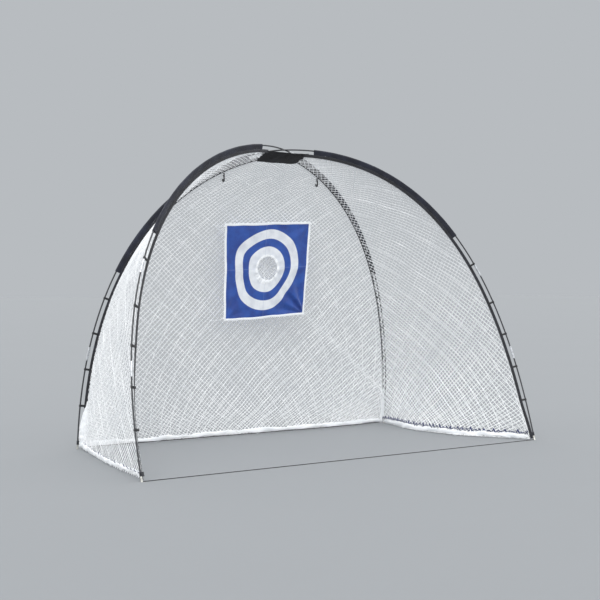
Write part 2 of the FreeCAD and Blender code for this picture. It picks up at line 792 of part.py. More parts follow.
def add_rectangle(sketch, name, width, height):
    """Add a rectangle round the origin, with its width and height tied to the sheet."""
    half = 10
    corners = [Vector(-half, -half, 0), Vector(half, -half, 0), Vector(half, half, 0), Vector(-half, half, 0)]
    first = sketch.GeometryCount
    for start, stop in zip(corners, corners[1:] + corners[:1]):
        sketch.addGeometry(Part.LineSegment(start, stop), False)
    for side in range(4):
        sketch.addConstraint(Sketcher.Constraint("Coincident", first + side, 2, first + (side + 1) % 4, 1))
        kind = "Horizontal" if side % 2 == 0 else "Vertical"
        sketch.addConstraint(Sketcher.Constraint(kind, first + side))
    sketch.addConstraint(Sketcher.Constraint("Symmetric", first, 1, first + 2, 1, -1, 1))
    bind(sketch, Sketcher.Constraint("DistanceX", first, 1, first, 2, 2.0 * half), name + "_width", width)
    bind(sketch, Sketcher.Constraint("DistanceY", first + 1, 1, first + 1, 2, 2.0 * half),
         name + "_height", height)


def add_circle(sketch, name, diameter, rise=None):
    """Add a circle on the sketch's vertical axis, with its diameter and rise tied to the sheet."""
    circle = sketch.addGeometry(Part.Circle(Vector(0, 5, 0), UP, 5), False)
    if rise is None:
        sketch.addConstraint(Sketcher.Constraint("Coincident", circle, 3, -1, 1))
    else:
        sketch.addConstraint(Sketcher.Constraint("PointOnObject", circle, 3, -2))
        bind(sketch, Sketcher.Constraint("DistanceY", -1, 1, circle, 3, 5.0), name + "_rise", rise)
    bind(sketch, Sketcher.Constraint("Diameter", circle, 10.0), name + "_diameter", diameter)


def pad(body, sketch, name, length):
    """Pad a sketch to both sides of its plane."""
    feature = body.newObject("PartDesign::Pad", name)
    feature.Profile = sketch
    feature.Midplane = True
    feature.setExpression("Length", length)
    body.Tip = feature


def make_target_sheet():
    """Make the printed sheet of the target, with its hole."""
    body = doc.addObject("PartDesign::Body", "target_sheet")
    sketch = new_sketch(body, "sheet_outline", "XZ_Plane")
    inner = " - 2 * sizes.target_edge - 2 * sizes.fit_gap"
    add_rectangle(sketch, "sheet", "sizes.target_width" + inner, "sizes.target_height" + inner)
    add_circle(sketch, "hole", "sizes.hole_diameter", "sizes.hole_rise")
    pad(body, sketch, "sheet_pad", "sizes.target_thickness")
    keep(body, "target_sheet", TARGET_MIDDLE)


def make_target_binding():
    """Make the binding sewn round the edge of the target."""
    body = doc.addObject("PartDesign::Body", "target_binding")
    sketch = new_sketch(body, "binding_outline", "XZ_Plane")
    add_rectangle(sketch, "outer", "sizes.target_width", "sizes.target_height")
    add_rectangle(sketch, "inner", "sizes.target_width - 2 * sizes.target_edge",
                  "sizes.target_height - 2 * sizes.target_edge")
    pad(body, sketch, "binding_pad", "sizes.target_edge_thickness")
    keep(body, "target_binding", TARGET_MIDDLE)


def make_pocket_ring():
    """Make the ring that the mesh pocket is sewn to, behind the hole."""
    body = doc.addObject("PartDesign::Body", "target_pocket_ring")
    sketch = new_sketch(body, "ring_outline", "XZ_Plane")
    add_circle(sketch, "ring_outer", "sizes.hole_diameter + 2 * sizes.ring_width")
    add_circle(sketch, "ring_inner", "sizes.hole_diameter")
    pad(body, sketch, "ring_pad", "sizes.ring_thickness")
    behind = (size("target_thickness") + size("ring_thickness")) / 2 + size("fit_gap")
    keep(body, "target_pocket_ring", HOLE * Placement(BACK * behind, Rotation()))


def make_pocket():
    """Make the mesh pocket that catches the ball: a cup that narrows to its closed end."""
    sides = count("pocket_sides")
    mouth = (size("hole_diameter") + size("ring_width")) / 2
    end, wall = size("pocket_end_diameter") / 2, size("pocket_wall")
    floor = size("pocket_depth") - wall

    def cup(mouth_radius, end_radius, depth):
        turns = [2 * math.pi * side / sides for side in range(sides)]
        front = [Vector(mouth_radius * math.cos(turn), 0, mouth_radius * math.sin(turn)) for turn in turns]
        rear = [Vector(end_radius * math.cos(turn), depth, end_radius * math.sin(turn)) for turn in turns]
        faces = [Part.Face(polygon(front)), Part.Face(polygon(rear))]
        for side in range(sides):
            after = (side + 1) % sides
            faces.append(Part.Face(polygon([front[side], front[after], rear[after], rear[side]])))
        return Part.makeSolid(Part.makeShell(faces))

    pocket = cup(mouth, end, size("pocket_depth")).cut(cup(mouth - wall, end - wall, floor))
    behind = size("target_thickness") / 2 + size("ring_thickness") + 2 * size("fit_gap")
    feature = keep_shape(pocket, "target_pocket")
    feature.Placement = HOLE * Placement(BACK * behind, Rotation())


def make_tie(side, upward, net):
    """Return a tie from a corner of the target to the nearest crossing of the netting behind it."""
    half_knot = size("tie_knot_width") / 2
    outside = size("target_width") / 2 + size("fit_gap") + half_knot
    rise = size("target_height") / 2 - size("tie_inset")
    corner = TARGET_MIDDLE.multVec(Vector(side * outside, 0, upward * rise))
    across = TARGET_MIDDLE.Rotation.multVec(RIGHT)
    knot_radius = size("tie_knot_diameter") / 2
    knot = bar(knot_radius, corner - across * half_knot, corner + across * half_knot)
    outward = [place for place in net.crossings() if side * (net.point(*place).x - corner.x) > 0]
    place = min(outward, key=lambda flat: (net.point(*flat) - corner).Length)
    square = net.normal(*place)
    far_end = net.point(*place) - square * size("fit_gap")
    far_knot = bar(knot_radius, far_end - square * half_knot, far_end)
    cord = bar(size("tie_diameter") / 2, corner, far_end - square * half_knot)
    return knot.fuse(cord).fuse(far_knot)


def make_ties(net):
    """Make the four cords that tie the corners of the target to the netting."""
    ties = [make_tie(side, upward, net) for side in (-1, 1) for upward in (1, -1)]
    keep_shape(Part.makeCompound(ties), "target_ties")


def hanger_point(leg):
    """Return the middle of the bar that a hook hangs on, below the binding of a back leg."""
    inward, sideways, along = leg.axes(size("hanger_reach"))
    slope = abs(along.z) / math.hypot(along.x, along.y)
    drop = (size("hanger_width") / 2 * slope + size("binding_thickness") / 2 * abs(sideways.z)
            + size("fit_gap") + size("hanger_height") - size("hanger_thickness") / 2)
    return leg.offset(size("hanger_reach"), BINDING_INNER) - UP * drop


def make_hanger(leg, side):
    """Make the loop under the binding that a hook hangs in, with its bar at the bottom."""
    body = doc.addObject("PartDesign::Body", "hook_loop_" + side)
    sketch = new_sketch(body, "loop_outline", "XZ_Plane")
    add_rectangle(sketch, "loop", "sizes.hanger_width", "sizes.hanger_height")
    add_rectangle(sketch, "window", "sizes.hook_thickness + 2 * sizes.fit_gap",
                  "sizes.hanger_height - 2 * sizes.hanger_thickness")
    pad(body, sketch, "loop_pad", "sizes.hanger_thickness")
    middle = hanger_point(leg) + UP * (size("hanger_height") - size("hanger_thickness")) / 2
    keep(body, "hook_loop_" + side, Placement(middle, Rotation()))


def make_hook(leg, side):
    """Make a hook that hangs by its eye on the bar of a loop, with its weight under the bar."""
    name = "hook_" + side
    lying = Rotation(BACK, 90)
    half = size("hook_thickness") / 2
    bend_middle = Vector(-half, size("hook_bend_radius") - size("hook_bar") / 2, -size("hook_shank"))
    eye_radius = "sizes.hanger_thickness * %g + sizes.fit_gap" % EYE_TO_BAR

    def cylinder(suffix, radius, base, turn, angle=360):
        piece = doc.addObject("Part::Cylinder", name + suffix)
        piece.setExpression("Radius", radius)
        piece.setExpression("Height", "sizes.hook_thickness")
        piece.Angle = angle
        piece.Placement = Placement(base, turn)
        return piece

    def disc(suffix, radius):
        piece = doc.addObject("Part::Prism", name + suffix)
        piece.setExpression("Polygon", "sizes.tube_sides")
        piece.setExpression("Circumradius", radius)
        piece.setExpression("Height", "sizes.hook_thickness")
        piece.Placement = Placement(Vector(-half, 0, 0), lying)
        return piece

    def box(suffix, length, base):
        piece = doc.addObject("Part::Box", name + suffix)
        piece.setExpression("Length", "sizes.hook_thickness")
        piece.setExpression("Width", "sizes.hook_bar")
        piece.setExpression("Height", length)
        piece.Placement = Placement(base, Rotation())
        return piece

    def cut(suffix, base, tool):
        piece = doc.addObject("Part::Cut", name + suffix)
        piece.Base = base
        piece.Tool = tool
        return piece

    lower_half = lying * Rotation(UP, -90)
    bend = cut("_bend", cylinder("_bend_outer", "sizes.hook_bend_radius", bend_middle, lower_half, 180),
               cylinder("_bend_inner", "sizes.hook_bend_radius - sizes.hook_bar", bend_middle, lying))
    bar_half = size("hook_bar") / 2
    tip_side = 2 * size("hook_bend_radius") - 3 * bar_half
    solid = doc.addObject("Part::MultiFuse", name + "_solid")
    solid.Shapes = [disc("_eye", eye_radius + " + sizes.hook_eye_wall"),
                    box("_shank", "sizes.hook_shank", Vector(-half, -bar_half, -size("hook_shank"))),
                    bend,
                    box("_tip", "sizes.hook_tip", Vector(-half, tip_side, -size("hook_shank")))]
    hook = cut("", solid, disc("_eye_hole", eye_radius))
    doc.recompute()
    weight = hook.Shape.Solids[0].CenterOfMass
    swing = math.degrees(math.atan2(weight.y, -weight.z))
    keep(hook, name, Placement(hanger_point(leg), Rotation(RIGHT, -swing)))


make_pole(left_pole)
make_pole(right_pole)
for current in legs:
    make_foot_tip(current)
    make_corner_strap(current)
    make_binding(current)
    make_clips(current)
make_sleeve(left_front, size("front_sleeve_start"))
make_sleeve(right_front, size("front_sleeve_start"))
make_sleeve(left_back, size("back_sleeve_start"))
make_sleeve(right_back, size("back_sleeve_start"))
make_crown_panel()

UPWARD_LEFT = Vector(-1, 0, 1).normalize()
UPWARD_RIGHT = Vector(1, 0, 1).normalize()
UPWARD_BACK = Vector(0, 1, 1).normalize()
net_left = NetPanel("net_left", left_back, -1, left_front, 1, UPWARD_LEFT)
net_right = NetPanel("net_right", right_front, -1, right_back, 1, UPWARD_RIGHT, size("hem_bow"))
net_back = NetPanel("net_back", right_back, -1, left_back, 1, UPWARD_BACK)
for net in (net_left, net_right, net_back):
    keep_shape(net.solid(), net.label)
make_hem_cord(net_left, "hem_cord_left")
make_hem_cord(net_right, "hem_cord_right")
make_hem_cord(net_back, "hem_cord_back")
make_ground_cord()

make_target_sheet()
make_target_binding()
make_pocket_ring()
make_pocket()
make_ties(net_back)
make_hanger(left_back, "left")
make_hanger(right_back, "right")
make_hook(left_back, "left")
make_hook(right_back, "right")

across = TARGET_MIDDLE.Rotation.multVec(RIGHT)
top_axis = TARGET_MIDDLE.multVec(UP * (size("target_height") / 2 - size("tie_inset")))
print("target turns about", top_axis, "along", across)
for side, leg in (("left", left_back), ("right", right_back)):
    print("hook", side, "turns about", hanger_point(leg))
for leg in legs:
    print(leg.label, "foot", leg.point(0), "length", round(leg.length, 1))

doc.recompute()
for item in doc.Objects:
    if "Invalid" in item.State or "Error" in item.State:
        raise RuntimeError("not built: " + item.Label)
for subpart in subparts:
    if subpart.Shape.isNull() or not subpart.Shape.isValid():
        raise RuntimeError("bad shape: " + subpart.Label)

os.makedirs("parts", exist_ok=True)
for subpart in subparts:
    subpart.Shape.exportStep("parts/%s.step" % subpart.Label)
print(len(subparts), "sub-parts written")
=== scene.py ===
"""Golf chipping net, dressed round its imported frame: netting, sleeves, target, cords and finishes.

X is to the golfer's right, Y to the back of the cage and Z up, in metres. The origin is on the ground,
at the middle of the footprint of the four feet.
"""
import logging
import math
from dataclasses import dataclass, field
from enum import Enum
from typing import Callable, NamedTuple, Optional, Sequence, Union

import bmesh
import bpy
import numpy as np
from mathutils import Matrix, Vector


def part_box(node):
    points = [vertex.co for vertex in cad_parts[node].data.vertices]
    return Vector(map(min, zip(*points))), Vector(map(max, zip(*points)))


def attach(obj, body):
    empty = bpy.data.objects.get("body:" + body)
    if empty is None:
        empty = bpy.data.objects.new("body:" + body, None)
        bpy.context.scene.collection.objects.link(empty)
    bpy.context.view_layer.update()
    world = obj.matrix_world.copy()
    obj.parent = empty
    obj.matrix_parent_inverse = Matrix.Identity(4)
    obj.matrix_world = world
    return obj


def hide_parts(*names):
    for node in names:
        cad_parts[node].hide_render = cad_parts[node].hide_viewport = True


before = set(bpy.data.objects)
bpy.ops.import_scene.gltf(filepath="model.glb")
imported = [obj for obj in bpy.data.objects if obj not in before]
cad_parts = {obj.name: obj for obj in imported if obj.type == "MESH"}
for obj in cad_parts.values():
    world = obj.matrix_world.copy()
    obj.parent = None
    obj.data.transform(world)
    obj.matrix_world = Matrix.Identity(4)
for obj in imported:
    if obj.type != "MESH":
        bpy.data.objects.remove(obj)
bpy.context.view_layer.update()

LOG = logging.getLogger("chipping_net")
FRAME_BODY = "frame"
TARGET_BODY = "target"
UP = np.array([0.0, 0.0, 1.0])
NEARLY_ONE = 0.99
HAIR = 1e-6
Array = np.ndarray
Pair = tuple[float, float]
Triple = tuple[float, float, float]
Colour = tuple[float, float, float]
Socket = bpy.types.NodeSocket
Piece = bpy.types.Object
Inside = Callable[[Array, Array], Array]


class Slot(Enum):
    """Names of material slots."""

    ROD = "fibreglass"
    STEEL = "steel"
    TIP = "tip_metal"
    PLASTIC = "black_plastic"
    SLEEVE = "sleeve_fabric"
    WEBBING = "black_webbing"
    BLUE_CORD = "blue_cord"
    NETTING = "netting"
    TARGET = "target_fabric"
    WHITE = "white_fabric"


class Element(Enum):
    """What an edit-mode selection is made of."""

    EDGE = "edges"
    FACE = "faces"


class Frames(NamedTuple):
    """Points along a run, each with three directions: toward the inside, sideways and along."""

    point: Array
    inward: Array
    sideways: Array
    along: Array


def unit(rows: Array) -> Array:
    """Return rows of vectors at unit length."""
    return rows / np.linalg.norm(rows, axis=-1, keepdims=True)


def smooth_step(values: Array) -> Array:
    """Return values held between 0 and 1 and eased at both ends."""
    held = np.clip(values, 0.0, 1.0)
    return held * held * (3 - 2 * held)


def reaches(points: Array) -> Array:
    """Return how far each point of a run lies from the first, along the run."""
    steps = np.linalg.norm(np.diff(points, axis=0), axis=1)
    return np.concatenate([[0.0], np.cumsum(steps)])


def look_up(places: Array, known: Array, rows: Array) -> Array:
    """Return rows at places, from those at known places."""
    return np.stack([np.interp(places, known, column) for column in rows.T], axis=-1)


def eased(values: Array, span: int) -> Array:
    """Return values smoothed over a span of them."""
    window = np.hanning(span)
    return np.convolve(values, window / window.sum(), mode="same")


def round_way(turn: Array, girth: float) -> Array:
    """Return how far round a girth angles lie, from 0 toward X."""
    return turn / (2 * math.pi) % 1.0 * girth


@dataclass(frozen=True)
class Ripples:
    """A smooth random surface: a sum of waves of several lengths and directions.

    Its values are about one at their highest. The seed keeps it the same on each run.
    """

    seed: int
    shortest: float
    longest: float
    waves: int = 14

    def at(self, across: Array, up: Array) -> Array:
        """Return the height of the surface at flat places.

        Args:
            across: first coordinate of each place, in metres.
            up: second coordinate of each place, in metres.

        Returns:
            The height at each place.
        """
        chance = np.random.default_rng(self.seed)
        total = np.zeros_like(np.asarray(across, float))
        for _ in range(self.waves):
            length = self.shortest * (self.longest / self.shortest) ** chance.random()
            turn, phase = 2 * math.pi * chance.random(2)
            wave = 2 * math.pi / length * (across * math.cos(turn) + up * math.sin(turn))
            total = total + np.sin(wave + phase)
        return total / math.sqrt(2 * self.waves)

    def along(self, places: Array) -> Array:
        """Return the height of the surface at places on a line."""
        return self.at(places, np.zeros_like(places))


@dataclass(frozen=True)
class CageSizes:
    """The cage's own sizes, which are those of the frame's source."""

    front_half_width: float = 1.525
    back_half_width: float = 1.296
    depth: float = 1.391
    crown_height: float = 2.021
    crown_setback: float = 0.916
    crown_turn: float = 25.8
    crown_fall: float = 3.6
    crown_gap: float = 0.0006
    inward_height: float = 0.9
    rod_diameter: float = 0.01
    rod_sections: int = 9
    ferrule_length: float = 0.09
    ferrule_wall: float = 0.0014
    fit_gap: float = 0.0003
    tip_length: float = 0.03
    tip_wall: float = 0.0015
    binding_offset: float = 0.026
    binding_width: float = 0.022
    binding_thickness: float = 0.0025
    binding_rise: float = 0.012
    clip_first: float = 0.29
    clip_pitch: float = 0.243
    clip_count: int = 4
    clip_height: float = 0.014
    clip_rest: float = 0.0012
    strap_height: float = 0.025
    sleeve_stop: float = 0.235
    front_sleeve_start: float = 1.52
    back_sleeve_start: float = 1.21
    panel_reach: float = 0.185
    panel_lap: float = 0.025
    net_overlap: float = 0.004

    @property
    def foot_middle(self) -> float:
        """Half the depth of the cage."""
        return self.depth / 2

    @property
    def crown(self) -> Array:
        """The point where the poles cross."""
        return np.array([0.0, self.crown_setback - self.foot_middle, self.crown_height])

    @property
    def binding_inner(self) -> float:
        """Pole centre to the inner edge of the binding."""
        return self.binding_offset + self.binding_width

    @property
    def ferrule_radius(self) -> float:
        """Outside radius of a ferrule."""
        return self.rod_diameter / 2 + self.fit_gap + self.ferrule_wall


CAGE = CageSizes()


@dataclass
class Leg:
    """Half a pole, from its foot to the crown, as one smooth curve.

    The netting and its binding leave their place inside the pole at one distance from the foot, and at a
    lower one they are drawn right in to it.
    """

    label: str
    side: int
    backward: int
    handle: Triple
    crown_handle: float
    leaves: float
    drawn: float
    lean: float = 0.0
    draw: float = 0.0185
    sleeve_short: float = 0.0
    samples: int = 3000

    def __post_init__(self) -> None:
        """Work out the curve's four control points and its length."""
        half_width = CAGE.back_half_width if self.backward > 0 else CAGE.front_half_width
        foot = np.array([self.side * half_width, self.backward * CAGE.foot_middle, 0.0])
        over = 1 if self.side == self.backward else -1
        crown = CAGE.crown + UP * over * (CAGE.rod_diameter + CAGE.crown_gap) / 2
        turn = math.radians(CAGE.crown_turn)
        fall = -self.backward * math.tan(math.radians(CAGE.crown_fall))
        leaving = np.array([self.side * math.cos(turn), self.backward * math.sin(turn), fall])
        outward, forward, upward = self.handle
        near_foot = foot + np.array([self.side * outward, -self.backward * forward, upward])
        self.controls = np.array([foot, near_foot, crown + leaving * self.crown_handle, crown])
        self.table = np.linspace(0.0, 1.0, self.samples)
        self.reach = reaches(self.curve(self.table))
        self.length = float(self.reach[-1])

    def curve(self, share: Array) -> Array:
        """Return points of the curve at shares of its parameter."""
        left = 1 - share
        weights = np.stack([left ** 3, 3 * left ** 2 * share, 3 * left * share ** 2, share ** 3], axis=-1)
        return weights @ self.controls

    def slope(self, share: Array) -> Array:
        """Return unit directions of the curve at shares of its parameter."""
        left = 1 - share
        weights = np.stack([left ** 2, 2 * left * share, share ** 2], axis=-1)
        return unit(weights @ np.diff(self.controls, axis=0))

    def frames(self, distances: Array) -> Frames:
        """Return the points and directions at distances from the foot, straight on beyond both ends."""
        distances = np.asarray(distances, float)
        inside = np.clip(distances, 0.0, self.length)
        share = np.interp(inside, self.reach, self.table)
        along = self.slope(share)
        point = self.curve(share) + along * (distances - inside)[..., None]
        inward = np.array([0.0, CAGE.crown[1], CAGE.inward_height]) - point
        inward = unit(inward - along * np.sum(inward * along, axis=-1, keepdims=True))
        return Frames(point, inward, np.cross(along, inward), along)

    def drawn_in(self, distances: Array) -> Array:
        """Return how far the netting and its binding are drawn in toward the pole."""
        return self.draw * (1 - smooth_step((distances - self.drawn) / (self.leaves - self.drawn)))

    def offset(self, distances: Array, inward_by: Array, sideways_by: Array = 0.0) -> Array:
        """Return points beside the leg.

        Args:
            distances: how far each point is along the run.
            inward_by: how far it lies toward the inside.
            sideways_by: how far it lies to its side.

        Returns:
            A row for each point.
        """
        run = self.frames(distances)
        beside = np.broadcast_to(np.asarray(sideways_by, float), np.shape(distances))
        within = np.broadcast_to(np.asarray(inward_by, float), np.shape(distances))
        return run.point + run.inward * within[..., None] + run.sideways * beside[..., None]


@dataclass
class Pole:
    """A front leg and the back leg that continues it over the crown."""

    label: str
    front: Leg
    back: Leg

    @property
    def length(self) -> float:
        """The whole length of the pole."""
        return self.front.length + self.back.length

    def frames(self, distances: Array) -> Frames:
        """Return the points and directions at distances from the front foot."""
        distances = np.asarray(distances, float)
        near, far = self.front.frames(distances), self.back.frames(self.length - distances)
        first = (distances <= self.front.length)[..., None]
        along = np.where(first, near.along, -far.along)
        inward = np.where(first, near.inward, far.inward)
        return Frames(np.where(first, near.point, far.point), inward, np.cross(along, inward), along)

    def joints(self) -> list[float]:
        """Return where the ferrules are centred."""
        return [self.length * number / CAGE.rod_sections for number in range(1, CAGE.rod_sections)]


@dataclass
class Route:
    """A smooth run through points, with one direction kept toward a guide."""

    points: Array
    guide: Triple = (0.0, 0.0, 1.0)
    spread: int = 24

    def __post_init__(self) -> None:
        """Work out closely spaced points of the run and their distances from its start."""
        first, last = self.points[:2], self.points[-2:]
        ends = [2 * first[0] - first[1], *self.points, 2 * last[1] - last[0]]
        share = np.linspace(0.0, 1.0, self.spread, endpoint=False)[:, None]
        parts = []
        for before, start, stop, after in zip(ends, ends[1:], ends[2:], ends[3:]):
            leave, arrive = (stop - before) / 2, (after - start) / 2
            parts.append(start + leave * share
                         + (3 * (stop - start) - 2 * leave - arrive) * share ** 2
                         + (2 * (start - stop) + leave + arrive) * share ** 3)
        self.fine = np.concatenate([*parts, last[1:]])
        self.reach = reaches(self.fine)
        self.length = float(self.reach[-1])

    def place(self, distances: Array) -> Array:
        """Return points at distances from the start."""
        return look_up(distances, self.reach, self.fine)

    def frames(self, distances: Array) -> Frames:
        """Return the points and directions at distances from the start."""
        distances = np.clip(np.asarray(distances, float), 0.0, self.length)
        step = self.length / len(self.fine)
        along = unit(self.place(np.minimum(distances + step, self.length))
                     - self.place(np.maximum(distances - step, 0.0)))
        guide = np.array(self.guide)
        inward = unit(guide - along * (along @ guide)[..., None])
        return Frames(self.place(distances), inward, np.cross(along, inward), along)


Track = Union[Leg, Pole, Route]


def is_upright(_middle: Vector, direction: Vector) -> bool:
    """Say whether an edge runs along Z."""
    return abs(direction.z) > NEARLY_ONE


class Bench:
    """A workbench: primitives, edit-mode selections, operators and modifiers, as by hand."""

    @staticmethod
    def clear() -> None:
        """Leave edit mode and deselect everything."""
        active = bpy.context.view_layer.objects.active
        if active is not None and active.mode != "OBJECT":
            bpy.ops.object.mode_set(mode="OBJECT")
        bpy.ops.object.select_all(action="DESELECT")

    @staticmethod
    def hold(piece: Piece) -> None:
        """Select one piece alone."""
        Bench.clear()
        piece.select_set(True)
        bpy.context.view_layer.objects.active = piece

    @staticmethod
    def named(name: str) -> Piece:
        """Name the piece that was just made, and put its place into its mesh."""
        piece = bpy.context.view_layer.objects.active
        piece.name = name
        piece.data.name = name
        bpy.ops.object.transform_apply(location=True, rotation=True, scale=True)
        return piece

    @staticmethod
    def pick(piece: Piece, element: Element, test: Callable[[Vector, Vector], bool]) -> None:
        """Enter edit mode and select by place.

        Args:
            piece: the mesh to edit.
            element: whether edges or faces are selected.
            test: says of a middle and a direction whether the element is selected.
        """
        Bench.hold(piece)
        bpy.ops.object.mode_set(mode="EDIT")
        bpy.ops.mesh.select_mode(type=element.name)
        bpy.ops.mesh.select_all(action="DESELECT")
        mesh = bmesh.from_edit_mesh(piece.data)
        for item in getattr(mesh, element.value):
            if element is Element.EDGE:
                start, stop = (corner.co for corner in item.verts)
                middle, direction = (start + stop) / 2, (stop - start).normalized()
            else:
                middle, direction = item.calc_center_median(), item.normal
            if test(middle, direction):
                item.select_set(True)
        bmesh.update_edit_mesh(piece.data)

    @staticmethod
    def done() -> None:
        """Leave edit mode."""
        bpy.ops.object.mode_set(mode="OBJECT")

    @staticmethod
    def apply(piece: Piece, kind: str, **settings: object) -> None:
        """Add a modifier, set it and apply it."""
        Bench.hold(piece)
        modifier = piece.modifiers.new(kind.title(), kind)
        for name, value in settings.items():
            setattr(modifier, name, value)
        bpy.ops.object.modifier_apply(modifier=modifier.name)

    @staticmethod
    def cut_lengthwise(piece: Piece, cuts: int) -> None:
        """Divide the edges that run along Z."""
        Bench.pick(piece, Element.EDGE, is_upright)
        bpy.ops.mesh.subdivide(number_cuts=cuts)
        Bench.done()

    @staticmethod
    def round_ends(piece: Piece, length: float, width: float) -> None:
        """Bevel the rims of a straight piece that stands on Z from 0 to its length."""
        def on_rim(middle: Vector, direction: Vector) -> bool:
            """Say whether an edge lies on one of the rims."""
            return abs(direction.z) < 1 - NEARLY_ONE and min(abs(middle.z), abs(middle.z - length)) < HAIR

        Bench.pick(piece, Element.EDGE, on_rim)
        bpy.ops.mesh.bevel(offset=width, segments=2, affect="EDGES")
        Bench.done()

    @staticmethod
    def rod(name: str, radius: float, length: float, sides: int, cuts: int, open_ends: bool = False) -> Piece:
        """Return a straight round piece that stands on Z from 0 to its length.

        Args:
            name: the piece's name.
            radius: its outside radius.
            length: its length along Z.
            sides: how many faces it has round it.
            cuts: how many times it is divided along Z.
            open_ends: whether its ends are left open.

        Returns:
            The piece.
        """
        Bench.clear()
        bpy.ops.mesh.primitive_cylinder_add(vertices=sides, radius=radius, depth=length,
                                            end_fill_type="NOTHING" if open_ends else "NGON",
                                            location=(0, 0, length / 2))
        piece = Bench.named(name)
        if cuts:
            Bench.cut_lengthwise(piece, cuts)
        return piece

    @staticmethod
    def strip(name: str, low: Pair, high: Pair, length: float, cuts: int,
              rounding: float) -> Piece:
        """Return a straight flat piece that stands on Z, with its long edges rounded.

        Args:
            name: the piece's name.
            low: its lowest X and Y.
            high: its highest X and Y.
            length: its length along Z.
            cuts: how many times it is divided along Z.
            rounding: how far its long edges are bevelled.

        Returns:
            The piece.
        """
        Bench.clear()
        middle = ((low[0] + high[0]) / 2, (low[1] + high[1]) / 2, length / 2)
        bpy.ops.mesh.primitive_cube_add(size=1, location=middle,
                                        scale=(high[0] - low[0], high[1] - low[1], length))
        piece = Bench.named(name)
        Bench.pick(piece, Element.EDGE, is_upright)
        bpy.ops.mesh.bevel(offset=rounding, segments=2, affect="EDGES")
        Bench.done()
        if cuts:
            Bench.cut_lengthwise(piece, cuts)
        return piece

    @staticmethod
    def ring(name: str, radius: float, wall: float, sides: tuple[int, int], turn: Triple,
             place: Triple = (0, 0, 0)) -> Piece:
        """Return a round ring.

        Args:
            name: the piece's name.
            radius: its radius, to the middle of its wall.
            wall: half the thickness of its wall.
            sides: how many faces it has round it and round its wall.
            turn: its angles about X, Y and Z.
            place: its middle.

        Returns:
            The piece.
        """
        Bench.clear()
        bpy.ops.mesh.primitive_torus_add(major_segments=sides[0], minor_segments=sides[1],
                                         major_radius=radius, minor_radius=wall, location=place,
                                         rotation=turn)
        return Bench.named(name)

    @staticmethod
    def grid(name: str, cells: tuple[int, int], size: float, lean: float = 0.0) -> Piece:
        """Return a flat square of cells about the origin, leaned back about X from lying flat."""
        Bench.clear()
        bpy.ops.mesh.primitive_grid_add(x_subdivisions=cells[0], y_subdivisions=cells[1], size=size,
                                        rotation=(lean, 0, 0))
        return Bench.named(name)

    @staticmethod
    def curve(name: str, diameter: float, resolution: int) -> bpy.types.Curve:
        """Return an empty curve that is round and has closed ends."""
        curve = bpy.data.curves.new(name, "CURVE")
        curve.dimensions = "3D"
        curve.bevel_depth = diameter / 2
        curve.bevel_resolution = resolution
        curve.use_fill_caps = True
        return curve

    @staticmethod
    def link(name: str, data: bpy.types.ID) -> Piece:
        """Return a new object in the scene for a mesh, a curve, a lamp or a camera."""
        piece = bpy.data.objects.new(name, data)
        bpy.context.scene.collection.objects.link(piece)
        return piece

    @staticmethod
    def combine(piece: Piece, tool: Piece, operation: str) -> None:
        """Join a tool to a piece, or cut it out of the piece, and throw the tool away."""
        Bench.apply(piece, "BOOLEAN", operation=operation, object=tool, solver="EXACT")
        bpy.data.objects.remove(tool)

    @staticmethod
    def join(pieces: Sequence[Piece], name: str) -> Piece:
        """Join copies into one piece."""
        Bench.hold(pieces[0])
        for piece in pieces:
            piece.select_set(True)
        bpy.ops.object.join()
        pieces[0].name = name
        pieces[0].data.name = name
        return pieces[0]

    @staticmethod
    def copy(piece: Piece) -> Piece:
        """Return a copy with its own mesh."""
        twin = piece.copy()
        twin.data = piece.data.copy()
        bpy.context.scene.collection.objects.link(twin)
        return twin

    @staticmethod
    def smooth(piece: Piece, degrees: float) -> None:
        """Shade a piece smooth, with edges past an angle kept sharp, or none where the angle is 0."""
        Bench.hold(piece)
        if degrees:
            bpy.ops.object.shade_smooth_by_angle(angle=math.radians(degrees))
        else:
            bpy.ops.object.shade_smooth()


def read_points(piece: Piece) -> Array:
    """Return the vertices of a mesh as rows."""
    rows = np.empty(len(piece.data.vertices) * 3)
    piece.data.vertices.foreach_get("co", rows)
    return rows.reshape(-1, 3)


def write_points(piece: Piece, rows: Array) -> None:
    """Set the vertices of a mesh."""
    piece.data.vertices.foreach_set("co", np.asarray(rows, float).ravel())
    piece.data.update()


def read_round(piece: Piece) -> tuple[Array, Array]:
    """Return the angle about Z and the height of each vertex of a mesh."""
    rows = read_points(piece)
    return np.arctan2(rows[:, 1], rows[:, 0]), rows[:, 2]


def unroll(piece: Piece, across: Array, along: Array, period: float = 0.0) -> None:
    """Give a piece a flat map in metres.

    Args:
        piece: the mesh.
        across: first coordinate of each vertex.
        along: second coordinate of each vertex.
        period: girth of a closed piece, past which the first coordinate starts again, or 0.
    """
    mesh = piece.data
    layer = mesh.uv_layers.get("flat") or mesh.uv_layers.new(name="flat")
    corner = np.empty(len(mesh.loops), int)
    mesh.loops.foreach_get("vertex_index", corner)
    first = across[corner].astype(float)
    if period:
        starts, totals = np.empty(len(mesh.polygons), int), np.empty(len(mesh.polygons), int)
        mesh.polygons.foreach_get("loop_start", starts)
        mesh.polygons.foreach_get("loop_total", totals)
        highest = np.repeat(np.maximum.reduceat(first, starts), totals)
        order = np.concatenate([np.arange(start, start + total) for start, total in zip(starts, totals)])
        wrapped = highest - first[order] > period / 2
        first[order[wrapped]] += period
    layer.data.foreach_set("uv", np.stack([first, along[corner]], axis=1).astype(np.float32).ravel())


def unroll_round(piece: Piece, radius: float) -> None:
    """Give a straight round piece its flat map."""
    girth = 2 * math.pi * radius
    turn, along = read_round(piece)
    unroll(piece, round_way(turn, girth), along, girth)


